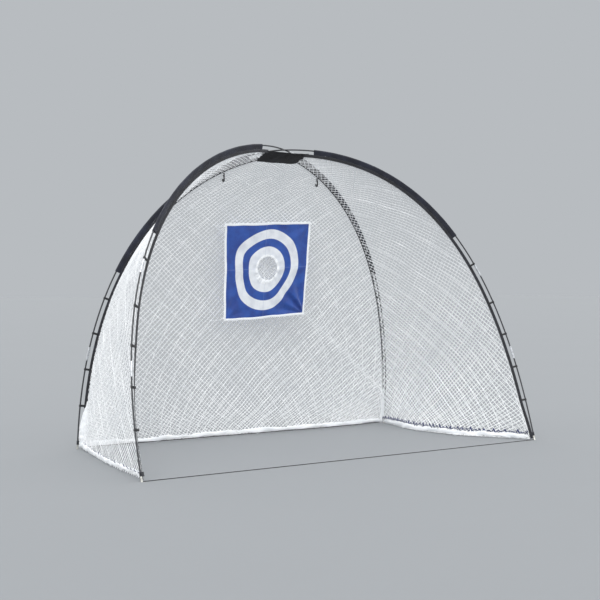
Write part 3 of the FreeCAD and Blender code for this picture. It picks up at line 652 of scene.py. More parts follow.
def lay_along(piece: Piece, track: Track, start: float = 0.0) -> None:
    """Bend a straight piece, which stands on Z, along a leg, a pole or a route.

    Args:
        piece: the mesh, with X toward the inside and Y sideways.
        track: the leg, pole or route.
        start: where Z = 0 comes on the track.
    """
    rows = read_points(piece)
    run = track.frames(start + rows[:, 2])
    write_points(piece, run.point + run.inward * rows[:, :1] + run.sideways * rows[:, 1:2])


def lay_copies(piece: Piece, name: str, track: Track, starts: Sequence[float]) -> Piece:
    """Copy a straight piece to each of several places along a track, and return the copies as one piece.

    Args:
        piece: the straight piece, which is used up.
        name: the name of the result.
        track: the leg, pole or route.
        starts: where Z = 0 of each copy comes on the track.

    Returns:
        The copies, joined.
    """
    copies = [Bench.copy(piece) for _ in starts]
    bpy.data.objects.remove(piece)
    for twin, start in zip(copies, starts):
        lay_along(twin, track, start)
    return Bench.join(copies, name)


def dress(piece: Piece, material: bpy.types.Material, body: str = FRAME_BODY,
          replaces: Sequence[str] = (), sharp: float = 40.0) -> Piece:
    """Shade a finished piece smooth, and give it its material and its body.

    Args:
        piece: the finished piece.
        material: its material.
        body: the body that it moves with.
        replaces: the CAD nodes that it stands for.
        sharp: the angle past which its edges stay sharp, or 0.

    Returns:
        The same piece.
    """
    Bench.smooth(piece, sharp)
    piece.data.materials.clear()
    piece.data.materials.append(material)
    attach(piece, body)
    if replaces:
        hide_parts(*replaces)
    LOG.info("%s: %d faces, on %s", piece.name, len(piece.data.polygons), body)
    return piece


class Recipe:
    """A material's nodes, added one at a time round one Principled shader."""

    def __init__(self, name: str, roughness: float, **sockets: object) -> None:
        """Start a material.

        Args:
            name: the material's name.
            roughness: the shader's roughness.
            sockets: other values set on the shader's own sockets, by name.
        """
        self.material = bpy.data.materials.new(name)
        self.material.use_nodes = True
        self.tree = self.material.node_tree
        self.tree.nodes.clear()
        output = self.tree.nodes.new("ShaderNodeOutputMaterial")
        self.shader = self.tree.nodes.new("ShaderNodeBsdfPrincipled")
        self.tree.links.new(self.shader.outputs[0], output.inputs["Surface"])
        self.shader.inputs["Roughness"].default_value = roughness
        for socket, value in sockets.items():
            self.shader.inputs[socket.replace("_", " ")].default_value = value

    def add(self, kind: str, inputs: dict[object, object], **settings: object) -> bpy.types.Node:
        """Add a node, set it and fill its inputs with values or links.

        Args:
            kind: the node's kind.
            inputs: values or links, by the input's name or number.
            settings: the node's own settings, by name.

        Returns:
            The node.
        """
        node = self.tree.nodes.new("ShaderNode" + kind)
        for name, value in settings.items():
            setattr(node, name, value)
        for key, value in inputs.items():
            if isinstance(value, bpy.types.NodeSocket):
                self.tree.links.new(value, node.inputs[key])
            else:
                node.inputs[key].default_value = value
        return node

    def place(self) -> Socket:
        """Return the place on the object."""
        return self.add("TexCoord", {}).outputs["Object"]

    def flat(self) -> Socket:
        """Return the place on the piece's flat map."""
        return self.add("UVMap", {}, uv_map="flat").outputs["UV"]

    def split(self, vector: Socket) -> tuple[Socket, Socket, Socket]:
        """Return the three parts of a vector."""
        parts = self.add("SeparateXYZ", {"Vector": vector}).outputs
        return parts[0], parts[1], parts[2]

    def noise(self, vector: Socket, scale: float, detail: float = 3.0) -> Socket:
        """Return soft noise from 0 to 1."""
        inputs = {"Vector": vector, "Scale": scale, "Detail": detail, "Roughness": 0.55}
        return self.add("TexNoise", inputs).outputs[0]

    def stretched(self, vector: Socket, scale: Triple) -> Socket:
        """Return a vector with its axes scaled."""
        return self.add("Mapping", {"Vector": vector, "Scale": scale}).outputs[0]

    def bands(self, vector: Socket, pitch: float, axis: str) -> Socket:
        """Return sine bands of a pitch across one axis."""
        inputs = {"Vector": vector, "Scale": math.pi / 10 / pitch}
        return self.add("TexWave", inputs, wave_type="BANDS", bands_direction=axis,
                        wave_profile="SIN").outputs["Fac"]

    def sum(self, operation: str, first: object, second: object = 0.0, third: object = 0.0) -> Socket:
        """Return the result of one arithmetic step."""
        return self.add("Math", {0: first, 1: second, 2: third}, operation=operation).outputs[0]

    def between(self, value: Socket, low: float, high: float) -> Socket:
        """Return 0 below a low value and 1 above a high one, eased between."""
        inputs = {"Value": value, "From Min": low, "From Max": high}
        return self.add("MapRange", inputs, interpolation_type="SMOOTHSTEP").outputs[0]

    def mix(self, share: object, first: object, second: object) -> Socket:
        """Return a colour between two."""
        inputs = {0: share, 6: first, 7: second}
        return self.add("Mix", inputs, data_type="RGBA").outputs[2]

    def blend(self, value: Socket, low: float, high: float, first: Colour, second: Colour) -> Socket:
        """Return a first colour below a low value and a second above a high one, eased between."""
        return self.mix(self.between(value, low, high), shade(*first), shade(*second))

    def below(self, value: Socket, low: float, high: float) -> Socket:
        """Return 1 below a low value and 0 above a high one, eased between."""
        return self.sum("SUBTRACT", 1.0, self.between(value, low, high))

    def beside(self, value: Socket, middle: float) -> Socket:
        """Return how far a value is from a middle one."""
        return self.sum("ABSOLUTE", self.sum("SUBTRACT", value, middle))

    def weave(self, flat: Socket, pitch: float) -> Socket:
        """Return the height of a plain weave, thread over thread."""
        warp, weft = self.bands(flat, pitch, "X"), self.bands(flat, pitch, "Y")
        return self.sum("ABSOLUTE", self.sum("SUBTRACT", warp, weft))

    def bump(self, height: Socket, distance: float, strength: float,
             below: Optional[Socket] = None) -> Socket:
        """Return a bumped normal, over another where one is given.

        Args:
            height: the height of the surface.
            distance: how high a height of one stands.
            strength: how far it tells.
            below: the normal that it is laid over.

        Returns:
            The normal.
        """
        inputs: dict[object, object] = {"Height": height, "Distance": distance, "Strength": strength}
        if below is not None:
            inputs["Normal"] = below
        return self.add("Bump", inputs).outputs[0]

    def finish(self, colour: object, normal: Optional[Socket] = None,
               roughness: Optional[Socket] = None) -> bpy.types.Material:
        """Link the colour, the normal and the roughness, and return the material.

        Args:
            colour: a colour or a link.
            normal: a bumped normal.
            roughness: a link that varies the roughness.

        Returns:
            The material.
        """
        for name, value in (("Base Color", colour), ("Normal", normal), ("Roughness", roughness)):
            if isinstance(value, bpy.types.NodeSocket):
                self.tree.links.new(value, self.shader.inputs[name])
            elif value is not None:
                self.shader.inputs[name].default_value = value
        return self.material


def shade(red: float, green: float, blue: float) -> tuple[float, float, float, float]:
    """Return a colour written as it looks, from 0 to 255, in linear light."""
    parts = [((value / 255 + 0.055) / 1.055) ** 2.4 for value in (red, green, blue)]
    return parts[0], parts[1], parts[2], 1.0


@dataclass(frozen=True)
class RodFinish:
    """Pultruded fibreglass: dark, satin, with fine fibres that run along the rod."""

    dark: Colour = (28, 29, 33)
    light: Colour = (52, 54, 60)

    def build(self) -> bpy.types.Material:
        """Return the material."""
        recipe = Recipe("fibreglass", 0.42, Coat_Weight=0.25, Coat_Roughness=0.25)
        fibres = recipe.noise(recipe.stretched(recipe.flat(), (900, 9, 1)), 1.0, 4.0)
        cloud = recipe.noise(recipe.place(), 7.0)
        grain = recipe.sum("MULTIPLY_ADD", cloud, 0.5, recipe.sum("MULTIPLY", fibres, 0.5))
        colour = recipe.blend(grain, 0.3, 0.75, self.dark, self.light)
        rough = recipe.sum("MULTIPLY_ADD", fibres, 0.18, 0.33)
        return recipe.finish(colour, recipe.bump(fibres, 0.0003, 0.35), rough)


@dataclass(frozen=True)
class MetalFinish:
    """Bare metal tube: fine drawing marks along it, soft handling marks over it."""

    name: str
    base: Colour
    roughness: float

    def build(self) -> bpy.types.Material:
        """Return the material."""
        recipe = Recipe(self.name, self.roughness, Metallic=0.9)
        marks = recipe.noise(recipe.stretched(recipe.flat(), (1500, 30, 1)), 1.0, 4.0)
        cloud = recipe.noise(recipe.place(), 60.0)
        dull = tuple(0.78 * part for part in self.base)
        colour = recipe.blend(cloud, 0.35, 0.7, self.base, dull)
        rough = recipe.sum("MULTIPLY_ADD", marks, 0.25, self.roughness - 0.1)
        return recipe.finish(colour, recipe.bump(marks, 0.0002, 0.3), rough)


@dataclass(frozen=True)
class PlasticFinish:
    """Moulded black plastic with a fine grain and scuffed edges."""

    base: Colour = (24, 25, 28)
    scuffed: Colour = (58, 60, 64)

    def build(self) -> bpy.types.Material:
        """Return the material."""
        recipe = Recipe("black_plastic", 0.38)
        place = recipe.place()
        grain, scuffs = recipe.noise(place, 900.0, 2.0), recipe.noise(place, 45.0, 4.0)
        colour = recipe.blend(scuffs, 0.55, 0.85, self.base, self.scuffed)
        rough = recipe.sum("MULTIPLY_ADD", scuffs, 0.3, 0.25)
        return recipe.finish(colour, recipe.bump(grain, 0.0002, 0.3), rough)


@dataclass(frozen=True)
class ClothFinish:
    """Woven cloth: threads both ways, paler where it is worn, and creased."""

    name: str
    base: Colour
    worn: Colour
    pitch: float
    roughness: float = 0.8
    sheen: float = 0.25

    def build(self) -> bpy.types.Material:
        """Return the material."""
        recipe = Recipe(self.name, self.roughness, Sheen_Weight=self.sheen, Sheen_Roughness=0.4)
        flat = recipe.flat()
        threads = recipe.weave(flat, self.pitch)
        cloud = recipe.noise(recipe.place(), 9.0, 5.0)
        fuzz = recipe.noise(flat, 420.0, 2.0)
        worn = recipe.sum("MULTIPLY_ADD", fuzz, 0.35, recipe.sum("MULTIPLY", cloud, 0.65))
        colour = recipe.blend(worn, 0.38, 0.72, self.base, self.worn)
        creased = recipe.bump(recipe.noise(flat, 26.0, 4.0), 0.004, 0.35)
        return recipe.finish(colour, recipe.bump(threads, self.pitch * 0.3, 0.55, creased))


@dataclass(frozen=True)
class WebbingFinish:
    """Woven tape: ribs across it and a row of stitches near each edge."""

    base: Colour = (16, 17, 23)
    worn: Colour = (33, 35, 45)
    thread: Colour = (64, 67, 80)
    rib: float = 0.0016
    stitch: float = 0.006
    stitch_line: float = 0.0085

    def build(self) -> bpy.types.Material:
        """Return the material."""
        recipe = Recipe("black_webbing", 0.75, Sheen_Weight=0.2)
        flat = recipe.flat()
        across = recipe.split(flat)[0]
        ribs = recipe.bands(flat, self.rib, "Y")
        twill = recipe.bands(flat, self.rib * 1.7, "DIAGONAL")
        height = recipe.sum("MULTIPLY_ADD", twill, 0.4, ribs)
        beside = recipe.beside(recipe.sum("ABSOLUTE", across), self.stitch_line)
        on_line = recipe.below(beside, 0.0003, 0.0006)
        dash = recipe.between(recipe.bands(flat, self.stitch, "Y"), 0.35, 0.45)
        stitched = recipe.sum("MULTIPLY", on_line, dash)
        cloud = recipe.noise(recipe.place(), 14.0, 4.0)
        cloth = recipe.blend(cloud, 0.4, 0.75, self.base, self.worn)
        colour = recipe.mix(stitched, cloth, shade(*self.thread))
        ribbed = recipe.bump(height, 0.0004, 0.6)
        return recipe.finish(colour, recipe.bump(stitched, 0.0006, 0.7, ribbed))


@dataclass(frozen=True)
class CordFinish:
    """Braided cord: two sets of strands that cross round it, painted lighter on their crests and darker in
    the grooves between them, as painted highlight and painted shade.
    """

    name: str
    base: Colour
    # The lighter colour, given to the strand crests as a painted highlight.
    light: Colour
    girth: float
    lay: float = 0.006
    strands: int = 4

    def build(self) -> bpy.types.Material:
        """Return the material."""
        recipe = Recipe(self.name, 0.7, Sheen_Weight=0.15)
        flat = recipe.flat()
        around, along, _ = recipe.split(flat)
        turn = recipe.sum("MULTIPLY", around, self.strands * 2 * math.pi / self.girth)
        advance = recipe.sum("MULTIPLY", along, 2 * math.pi / self.lay)
        one_way = recipe.sum("SINE", recipe.sum("ADD", turn, advance))
        other_way = recipe.sum("SINE", recipe.sum("SUBTRACT", turn, advance))
        strands = recipe.sum("MAXIMUM", one_way, other_way)
        cloud = recipe.noise(recipe.place(), 40.0)
        # Painted shade in the grooves between strands and painted highlight on their crests, over random tone
        # from the cloud.
        strand_shade_and_tone = recipe.sum("MULTIPLY_ADD", strands, 0.3, cloud)
        colour = recipe.blend(strand_shade_and_tone, 0.3, 0.9, self.base, self.light)
        return recipe.finish(colour, recipe.bump(strands, 0.0004, 0.6))


@dataclass(frozen=True)
class TwineFinish:
    """White nylon twine, slightly soiled near the ground."""

    base: Colour = (251, 252, 253)
    shaded: Colour = (238, 240, 242)
    soiled: Colour = (205, 204, 190)
    soiled_height: float = 0.16

    def build(self) -> bpy.types.Material:
        """Return the material."""
        recipe = Recipe("netting", 0.62, Sheen_Weight=0.1)
        place = recipe.place()
        height = recipe.split(place)[2]
        fibres = recipe.noise(place, 1400.0, 2.0)
        cloud = recipe.noise(place, 5.0, 4.0)
        clean = recipe.blend(cloud, 0.35, 0.7, self.base, self.shaded)
        low = recipe.below(height, 0.0, self.soiled_height)
        dirt = recipe.sum("MULTIPLY", low, recipe.between(cloud, 0.4, 0.65))
        colour = recipe.mix(recipe.sum("MULTIPLY", dirt, 0.2), clean, shade(*self.soiled))
        return recipe.finish(colour, recipe.bump(fibres, 0.0004, 0.4))


@dataclass(frozen=True)
class PrintFinish:
    """Blue nylon printed with a white ring and a white disc round the hole, with painted light along two fold
    lines.
    """

    blue: Colour = (26, 76, 162)
    deep: Colour = (18, 56, 136)
    white: Colour = (233, 236, 240)
    shaded: Colour = (212, 216, 224)
    # Painted light along the fold lines: lighter than the blue, as a painted highlight, and darker than the
    # white, as painted shade.
    creased: Colour = (150, 165, 200)
    disc_radius: float = 0.158
    ring_inner: float = 0.2125
    ring_outer: float = 0.2775
    edge: float = 0.0012
    thread: float = 0.0011
    folds: Pair = (-0.012, 0.004)
    fold_shading_width: float = 0.004

    def build(self) -> bpy.types.Material:
        """Return the material."""
        recipe = Recipe("target_print", 0.5, Sheen_Weight=0.2, Coat_Weight=0.12, Coat_Roughness=0.4)
        flat = recipe.flat()
        across, up, _ = recipe.split(flat)
        wobble = recipe.sum("MULTIPLY_ADD", recipe.noise(flat, 60.0, 2.0), 0.0016, -0.0008)
        away = recipe.add("VectorMath", {0: flat}, operation="LENGTH").outputs["Value"]
        radius = recipe.sum("ADD", away, wobble)
        disc = recipe.sum("SUBTRACT", 1.0, self.step(recipe, radius, self.disc_radius))
        ring = recipe.sum("SUBTRACT", self.step(recipe, radius, self.ring_inner),
                          self.step(recipe, radius, self.ring_outer))
        printed = recipe.sum("ADD", disc, ring)
        cloud = recipe.between(recipe.noise(flat, 11.0, 5.0), 0.36, 0.68)
        ground = recipe.mix(cloud, shade(*self.blue), shade(*self.deep))
        ink = recipe.mix(cloud, shade(*self.white), shade(*self.shaded))
        colour = recipe.mix(printed, ground, ink)
        # Each fold line is painted toward the crease colour: painted highlight on the blue and painted shade
        # on the white, where the folds catch the light.
        for value, middle in ((across, self.folds[0]), (up, self.folds[1])):
            crease = recipe.below(recipe.beside(value, middle), 0.0, self.fold_shading_width)
            colour = recipe.mix(recipe.sum("MULTIPLY", crease, 0.22), colour, shade(*self.creased))
        threads = recipe.bump(recipe.weave(flat, self.thread), 0.0003, 0.5)
        crumple = recipe.noise(flat, 34.0, 5.0)
        return recipe.finish(colour, recipe.bump(crumple, 0.003, 0.3, threads))

    def step(self, recipe: Recipe, radius: Socket, at: float) -> Socket:
        """Return 0 inside a radius and 1 outside it."""
        return recipe.between(radius, at - self.edge, at + self.edge)


class Finishes:
    """Every material of the net, built once."""

    def __init__(self) -> None:
        """Build the materials."""
        self.rod = RodFinish().build()
        self.steel = MetalFinish("steel", (214, 217, 221), 0.26).build()
        self.tip = MetalFinish("tip_metal", (226, 225, 218), 0.42).build()
        self.plastic = PlasticFinish().build()
        self.sleeve = ClothFinish("sleeve_fabric", (21, 23, 34), (40, 44, 60), 0.0011).build()
        self.crown = ClothFinish("crown_fabric", (11, 11, 13), (24, 25, 29), 0.0011, 0.85, 0.0).build()
        self.webbing = WebbingFinish().build()
        self.black_cord = CordFinish("black_cord", (18, 19, 22), (50, 51, 56), 0.0126).build()
        self.blue_cord = CordFinish("blue_cord", (22, 28, 72), (44, 54, 108), 0.0126).build()
        self.white_cord = CordFinish("white_cord", (222, 225, 229), (243, 245, 247), 0.0126).build()
        self.netting = TwineFinish().build()
        self.target = PrintFinish().build()
        self.white = ClothFinish("white_cloth", (238, 241, 244), (252, 252, 253), 0.0012, 0.7, 0.15).build()


@dataclass
class PoleWork:
    """The rods, ferrules and foot tips of the two poles."""

    finishes: Finishes
    rod_sides: int = 20
    ferrule_sides: int = 24
    step: float = 0.02
    chamfer: float = 0.0006
    crimp: float = 0.0005
    crimp_inset: float = 0.012
    crimp_width: float = 0.0028
    tip_sides: int = 28
    tip_rib: float = 0.0004
    tip_pitch: float = 0.006
    tip_ribbed: float = 0.02
    tip_clear: float = 0.0002

    def make_rods(self, pole: Pole) -> None:
        """Make the rod sections of a pole.

        Args:
            pole: the pole.
        """
        half_gap = CAGE.fit_gap / 2
        cap = CAGE.tip_wall + half_gap
        starts = [cap] + [joint + half_gap for joint in pole.joints()]
        stops = [joint - half_gap for joint in pole.joints()] + [pole.length - cap]
        for number, (start, stop) in enumerate(zip(starts, stops), start=1):
            length = stop - start
            name = "rod_%s_%d" % (pole.label, number)
            rod = Bench.rod(name, CAGE.rod_diameter / 2, length, self.rod_sides, int(length / self.step))
            Bench.round_ends(rod, length, self.chamfer)
            unroll_round(rod, CAGE.rod_diameter / 2)
            lay_along(rod, pole, start)
            dress(rod, self.finishes.rod, replaces=["pole_%s_section_%d" % (pole.label, number)])

    def make_ferrules(self, pole: Pole) -> None:
        """Make one steel tube with crimped ends, and copy it to each joint of a pole.

        Args:
            pole: the pole.
        """
        length, radius = CAGE.ferrule_length, CAGE.ferrule_radius
        tube = Bench.rod("ferrule", radius, length, self.ferrule_sides, 17, open_ends=True)
        rows = read_points(tube)
        inset = np.minimum(rows[:, 2], length - rows[:, 2])
        groove = np.exp(-((inset - self.crimp_inset) / self.crimp_width) ** 2)
        rows[:, :2] *= (1 - self.crimp / radius * groove)[:, None]
        write_points(tube, rows)
        Bench.apply(tube, "SOLIDIFY", thickness=CAGE.ferrule_wall - 0.0001, offset=-1)
        unroll_round(tube, radius)
        Bench.apply(tube, "BEVEL", width=self.chamfer / 2, segments=2, limit_method="ANGLE")
        starts = [joint - length / 2 for joint in pole.joints()]
        ferrules = lay_copies(tube, "ferrules_" + pole.label, pole, starts)
        dress(ferrules, self.finishes.steel, replaces=["pole_%s_ferrules" % pole.label])

    def make_foot(self, leg: Leg) -> None:
        """Make the metal tip of one foot: a ribbed cap over the rod, cut flat on the ground.

        Args:
            leg: the leg that ends in the foot.
        """
        radius = CAGE.rod_diameter / 2 + CAGE.fit_gap + CAGE.tip_wall
        below = CAGE.rod_diameter
        length = CAGE.tip_length + below
        tip = Bench.rod("foot_cap_" + leg.label, radius, length, self.tip_sides, 19)
        rows = read_points(tip)
        rise = length - rows[:, 2]
        rib = self.tip_rib * np.cos(2 * math.pi * rise / self.tip_pitch) * (rise < self.tip_ribbed)
        rows[:, :2] *= (1 - (self.tip_rib - rib) / radius)[:, None]
        write_points(tip, rows)
        unroll_round(tip, radius)
        lay_along(tip, leg, -below)
        Bench.pick(tip, Element.FACE, lambda middle, direction: True)
        bpy.ops.mesh.bisect(plane_co=(0, 0, self.tip_clear), plane_no=(0, 0, 1), use_fill=True,
                            clear_inner=True)
        Bench.done()
        bore = Bench.rod("bore", CAGE.rod_diameter / 2 + CAGE.fit_gap, length, self.tip_sides, 0)
        lay_along(bore, leg, CAGE.tip_wall)
        Bench.combine(tip, bore, "DIFFERENCE")
        dress(tip, self.finishes.tip, replaces=["foot_tip_" + leg.label])


@dataclass
class EdgeWork:
    """What holds the netting to a leg: its binding, clips, foot strap and sleeve."""

    finishes: Finishes
    sleeve_sides: int = 44
    sleeve_step: float = 0.009
    sleeve_wall: float = 0.0013
    sleeve_seam: float = 0.0032
    hem_wall: float = 0.0007
    hem_width: float = 0.013
    clip_wall: float = 0.0024
    clip_grip: float = 0.006
    clip_gap: float = 0.0004
    strap_wall: float = 0.0022
    nose_facets: int = 40
    lean_stop: float = 1.1
    lean_fade: float = 0.35
    turn_in: float = 2.4

    def make_binding(self, leg: Leg) -> None:
        """Make the tape that edges the netting inside a leg.

        Args:
            leg: the leg.
        """
        rise = CAGE.clip_first - CAGE.clip_height if leg.backward > 0 else CAGE.binding_rise
        stop = leg.length - CAGE.panel_reach + CAGE.panel_lap
        half = CAGE.binding_thickness / 2
        length = stop - rise
        tape = Bench.strip("webbing_" + leg.label, (CAGE.binding_offset, -half), (CAGE.binding_inner, half),
                           length, int(length / 0.02), 0.0009)
        rows = read_points(tape)
        middle = (CAGE.binding_offset + CAGE.binding_inner) / 2
        unroll(tape, rows[:, 0] - middle, rows[:, 2])
        distances = rows[:, 2] + rise
        lean = math.radians(leg.lean) * (1 + self.turn_in * leg.drawn_in(distances) / leg.draw)
        lean = lean * (1 - smooth_step((distances - self.lean_stop) / self.lean_fade))
        beside = rows[:, 0] - middle
        rows[:, 0] = middle - leg.drawn_in(distances) + beside * np.cos(lean) - rows[:, 1] * np.sin(lean)
        rows[:, 1] = beside * np.sin(lean) + rows[:, 1] * np.cos(lean)
        write_points(tape, rows)
        lay_along(tape, leg, rise)
        dress(tape, self.finishes.webbing, replaces=[leg.label + "_binding"])

    def clasp(self, name: str, height: float, wall: float, gap: float, grip: float, rounding: float) -> Piece:
        """Return a clasp that stands on Z: a ring round the pole with a fork that holds the binding.

        Args:
            name: the piece's name.
            height: its height along the pole.
            wall: its wall round the pole.
            gap: its gap to the pole.
            grip: how deep it holds the binding.
            rounding: how far its edges are bevelled.

        Returns:
            The clasp.
        """
        bore = CAGE.rod_diameter / 2 + gap
        slot = CAGE.binding_thickness / 2 + CAGE.fit_gap
        reach = CAGE.binding_offset + grip
        ring = Bench.rod(name, bore + wall, height, 40, 0)
        arm = Bench.strip("arm", (0.001, -slot - wall), (reach, slot + wall), height, 0, 0.0004)
        Bench.combine(ring, arm, "UNION")
        hole = Bench.rod("hole", bore, height * 3, 40, 0)
        hole.location.z = -height
        Bench.combine(ring, hole, "DIFFERENCE")
        fork = Bench.strip("fork", (CAGE.binding_offset - CAGE.fit_gap, -slot), (reach * 2, slot), height * 3,
                           0, 0.0001)
        fork.location.z = -height
        Bench.combine(ring, fork, "DIFFERENCE")
        Bench.apply(ring, "BEVEL", width=rounding, segments=2, limit_method="ANGLE",
                    angle_limit=math.radians(50))
        return ring

    def make_clips(self, leg: Leg, pole: Pole) -> None:
        """Make one clip and copy it up the bare half of a leg.

        Args:
            leg: the leg.
            pole: the pole that it is part of.
        """
        clip = self.clasp("clip", CAGE.clip_height, self.clip_wall, self.clip_gap, self.clip_grip, 0.0006)
        middles = [CAGE.clip_first + CAGE.clip_pitch * number for number in range(CAGE.clip_count)]
        if leg.backward < 0:
            middles.append(pole.joints()[1] + CAGE.ferrule_length / 2 + CAGE.clip_rest + CAGE.clip_height / 2)
        starts = [middle - CAGE.clip_height / 2 for middle in middles]
        clips = lay_copies(clip, "clip_set_" + leg.label, leg, starts)
        dress(clips, self.finishes.plastic, replaces=[leg.label + "_clips"])

    def make_strap(self, leg: Leg) -> None:
        """Make the webbing strap that ties a corner of the netting to its foot.

        Args:
            leg: the leg that ends in the foot.
        """
        strap = self.clasp("foot_strap_" + leg.label, CAGE.strap_height, self.strap_wall, CAGE.fit_gap,
                           -0.002, 0.0007)
        rows = read_points(strap)
        unroll(strap, rows[:, 2] - CAGE.strap_height / 2, rows[:, 0] + rows[:, 1])
        lay_along(strap, leg, CAGE.tip_length + CAGE.fit_gap)
        dress(strap, self.finishes.webbing, replaces=[leg.label + "_corner_strap"])

    def sleeve_outline(self) -> Array:
        """Return the outline of a sleeve, evenly divided: a round nose that narrows to a flat seam."""
        nose = CAGE.ferrule_radius + CAGE.fit_gap + self.sleeve_wall
        seam = (CAGE.binding_offset - CAGE.fit_gap, self.sleeve_seam / 2)
        angle = math.atan2(seam[1], seam[0]) + math.acos(nose / math.hypot(*seam))
        turns = np.linspace(angle, 2 * math.pi - angle, self.nose_facets)
        rounded = np.stack([nose * np.cos(turns), nose * np.sin(turns)], axis=1)
        outline = np.concatenate([[(seam[0], 0.0), seam], rounded, [(seam[0], -seam[1]), (seam[0], 0.0)]])
        reach = reaches(outline)
        places = np.linspace(0.0, reach[-1], self.sleeve_sides, endpoint=False)
        return look_up(places, reach, outline)

    def make_sleeve(self, leg: Leg, seed: int) -> None:
        """Make the cloth sleeve on the upper half of a leg, with slack folds across its seam side.

        Args:
            leg: the leg.
            seed: what its folds are drawn from.
        """
        start = CAGE.back_sleeve_start if leg.backward > 0 else CAGE.front_sleeve_start
        start += leg.sleeve_short
        length = leg.length - CAGE.sleeve_stop - start
        sleeve = Bench.rod("fabric_sleeve_" + leg.label, 1.0, length, self.sleeve_sides,
                           int(length / self.sleeve_step), open_ends=True)
        turn, rise = read_round(sleeve)
        number = np.round(round_way(turn, self.sleeve_sides)).astype(int) % self.sleeve_sides
        outline = self.sleeve_outline()
        flat = outline[number]
        ahead = np.roll(outline, -1, axis=0) - np.roll(outline, 1, axis=0)
        normal = unit(np.stack([ahead[:, 1], -ahead[:, 0]], axis=1))[number]
        girth = float(np.linalg.norm(np.diff(outline, axis=0, append=outline[:1]), axis=1).sum())
        around = number / self.sleeve_sides * girth
        folds = Ripples(seed, 0.05, 0.22).at(around * 2.0, rise + flat[:, 0])
        fine = Ripples(seed + 1, 0.014, 0.05).at(around, rise)
        slack = smooth_step(flat[:, 0] / CAGE.binding_offset + 0.45)
        inset = np.minimum(rise, length - rise)
        ends = smooth_step(inset / 0.03)
        puff = (0.0011 * folds + 0.00045 * fine) * (0.35 + 0.65 * slack) * ends + 0.0006 * ends
        hem = self.hem_wall * (inset < self.hem_width)
        flat = flat + normal * (np.maximum(puff, -0.0002) + hem)[:, None]
        write_points(sleeve, np.column_stack([flat, rise]))
        unroll(sleeve, around, rise, girth)
        Bench.apply(sleeve, "SOLIDIFY", thickness=self.sleeve_wall - 0.0002, offset=-1)
        lay_along(sleeve, leg, start)
        dress(sleeve, self.finishes.sleeve, replaces=[leg.label + "_sleeve"], sharp=60)


class Gather(NamedTuple):
    """A line on a net, from one flat place to another, that the netting is drawn toward."""

    start: Pair
    stop: Pair
    width: float
    pull: float
    last_pull: float


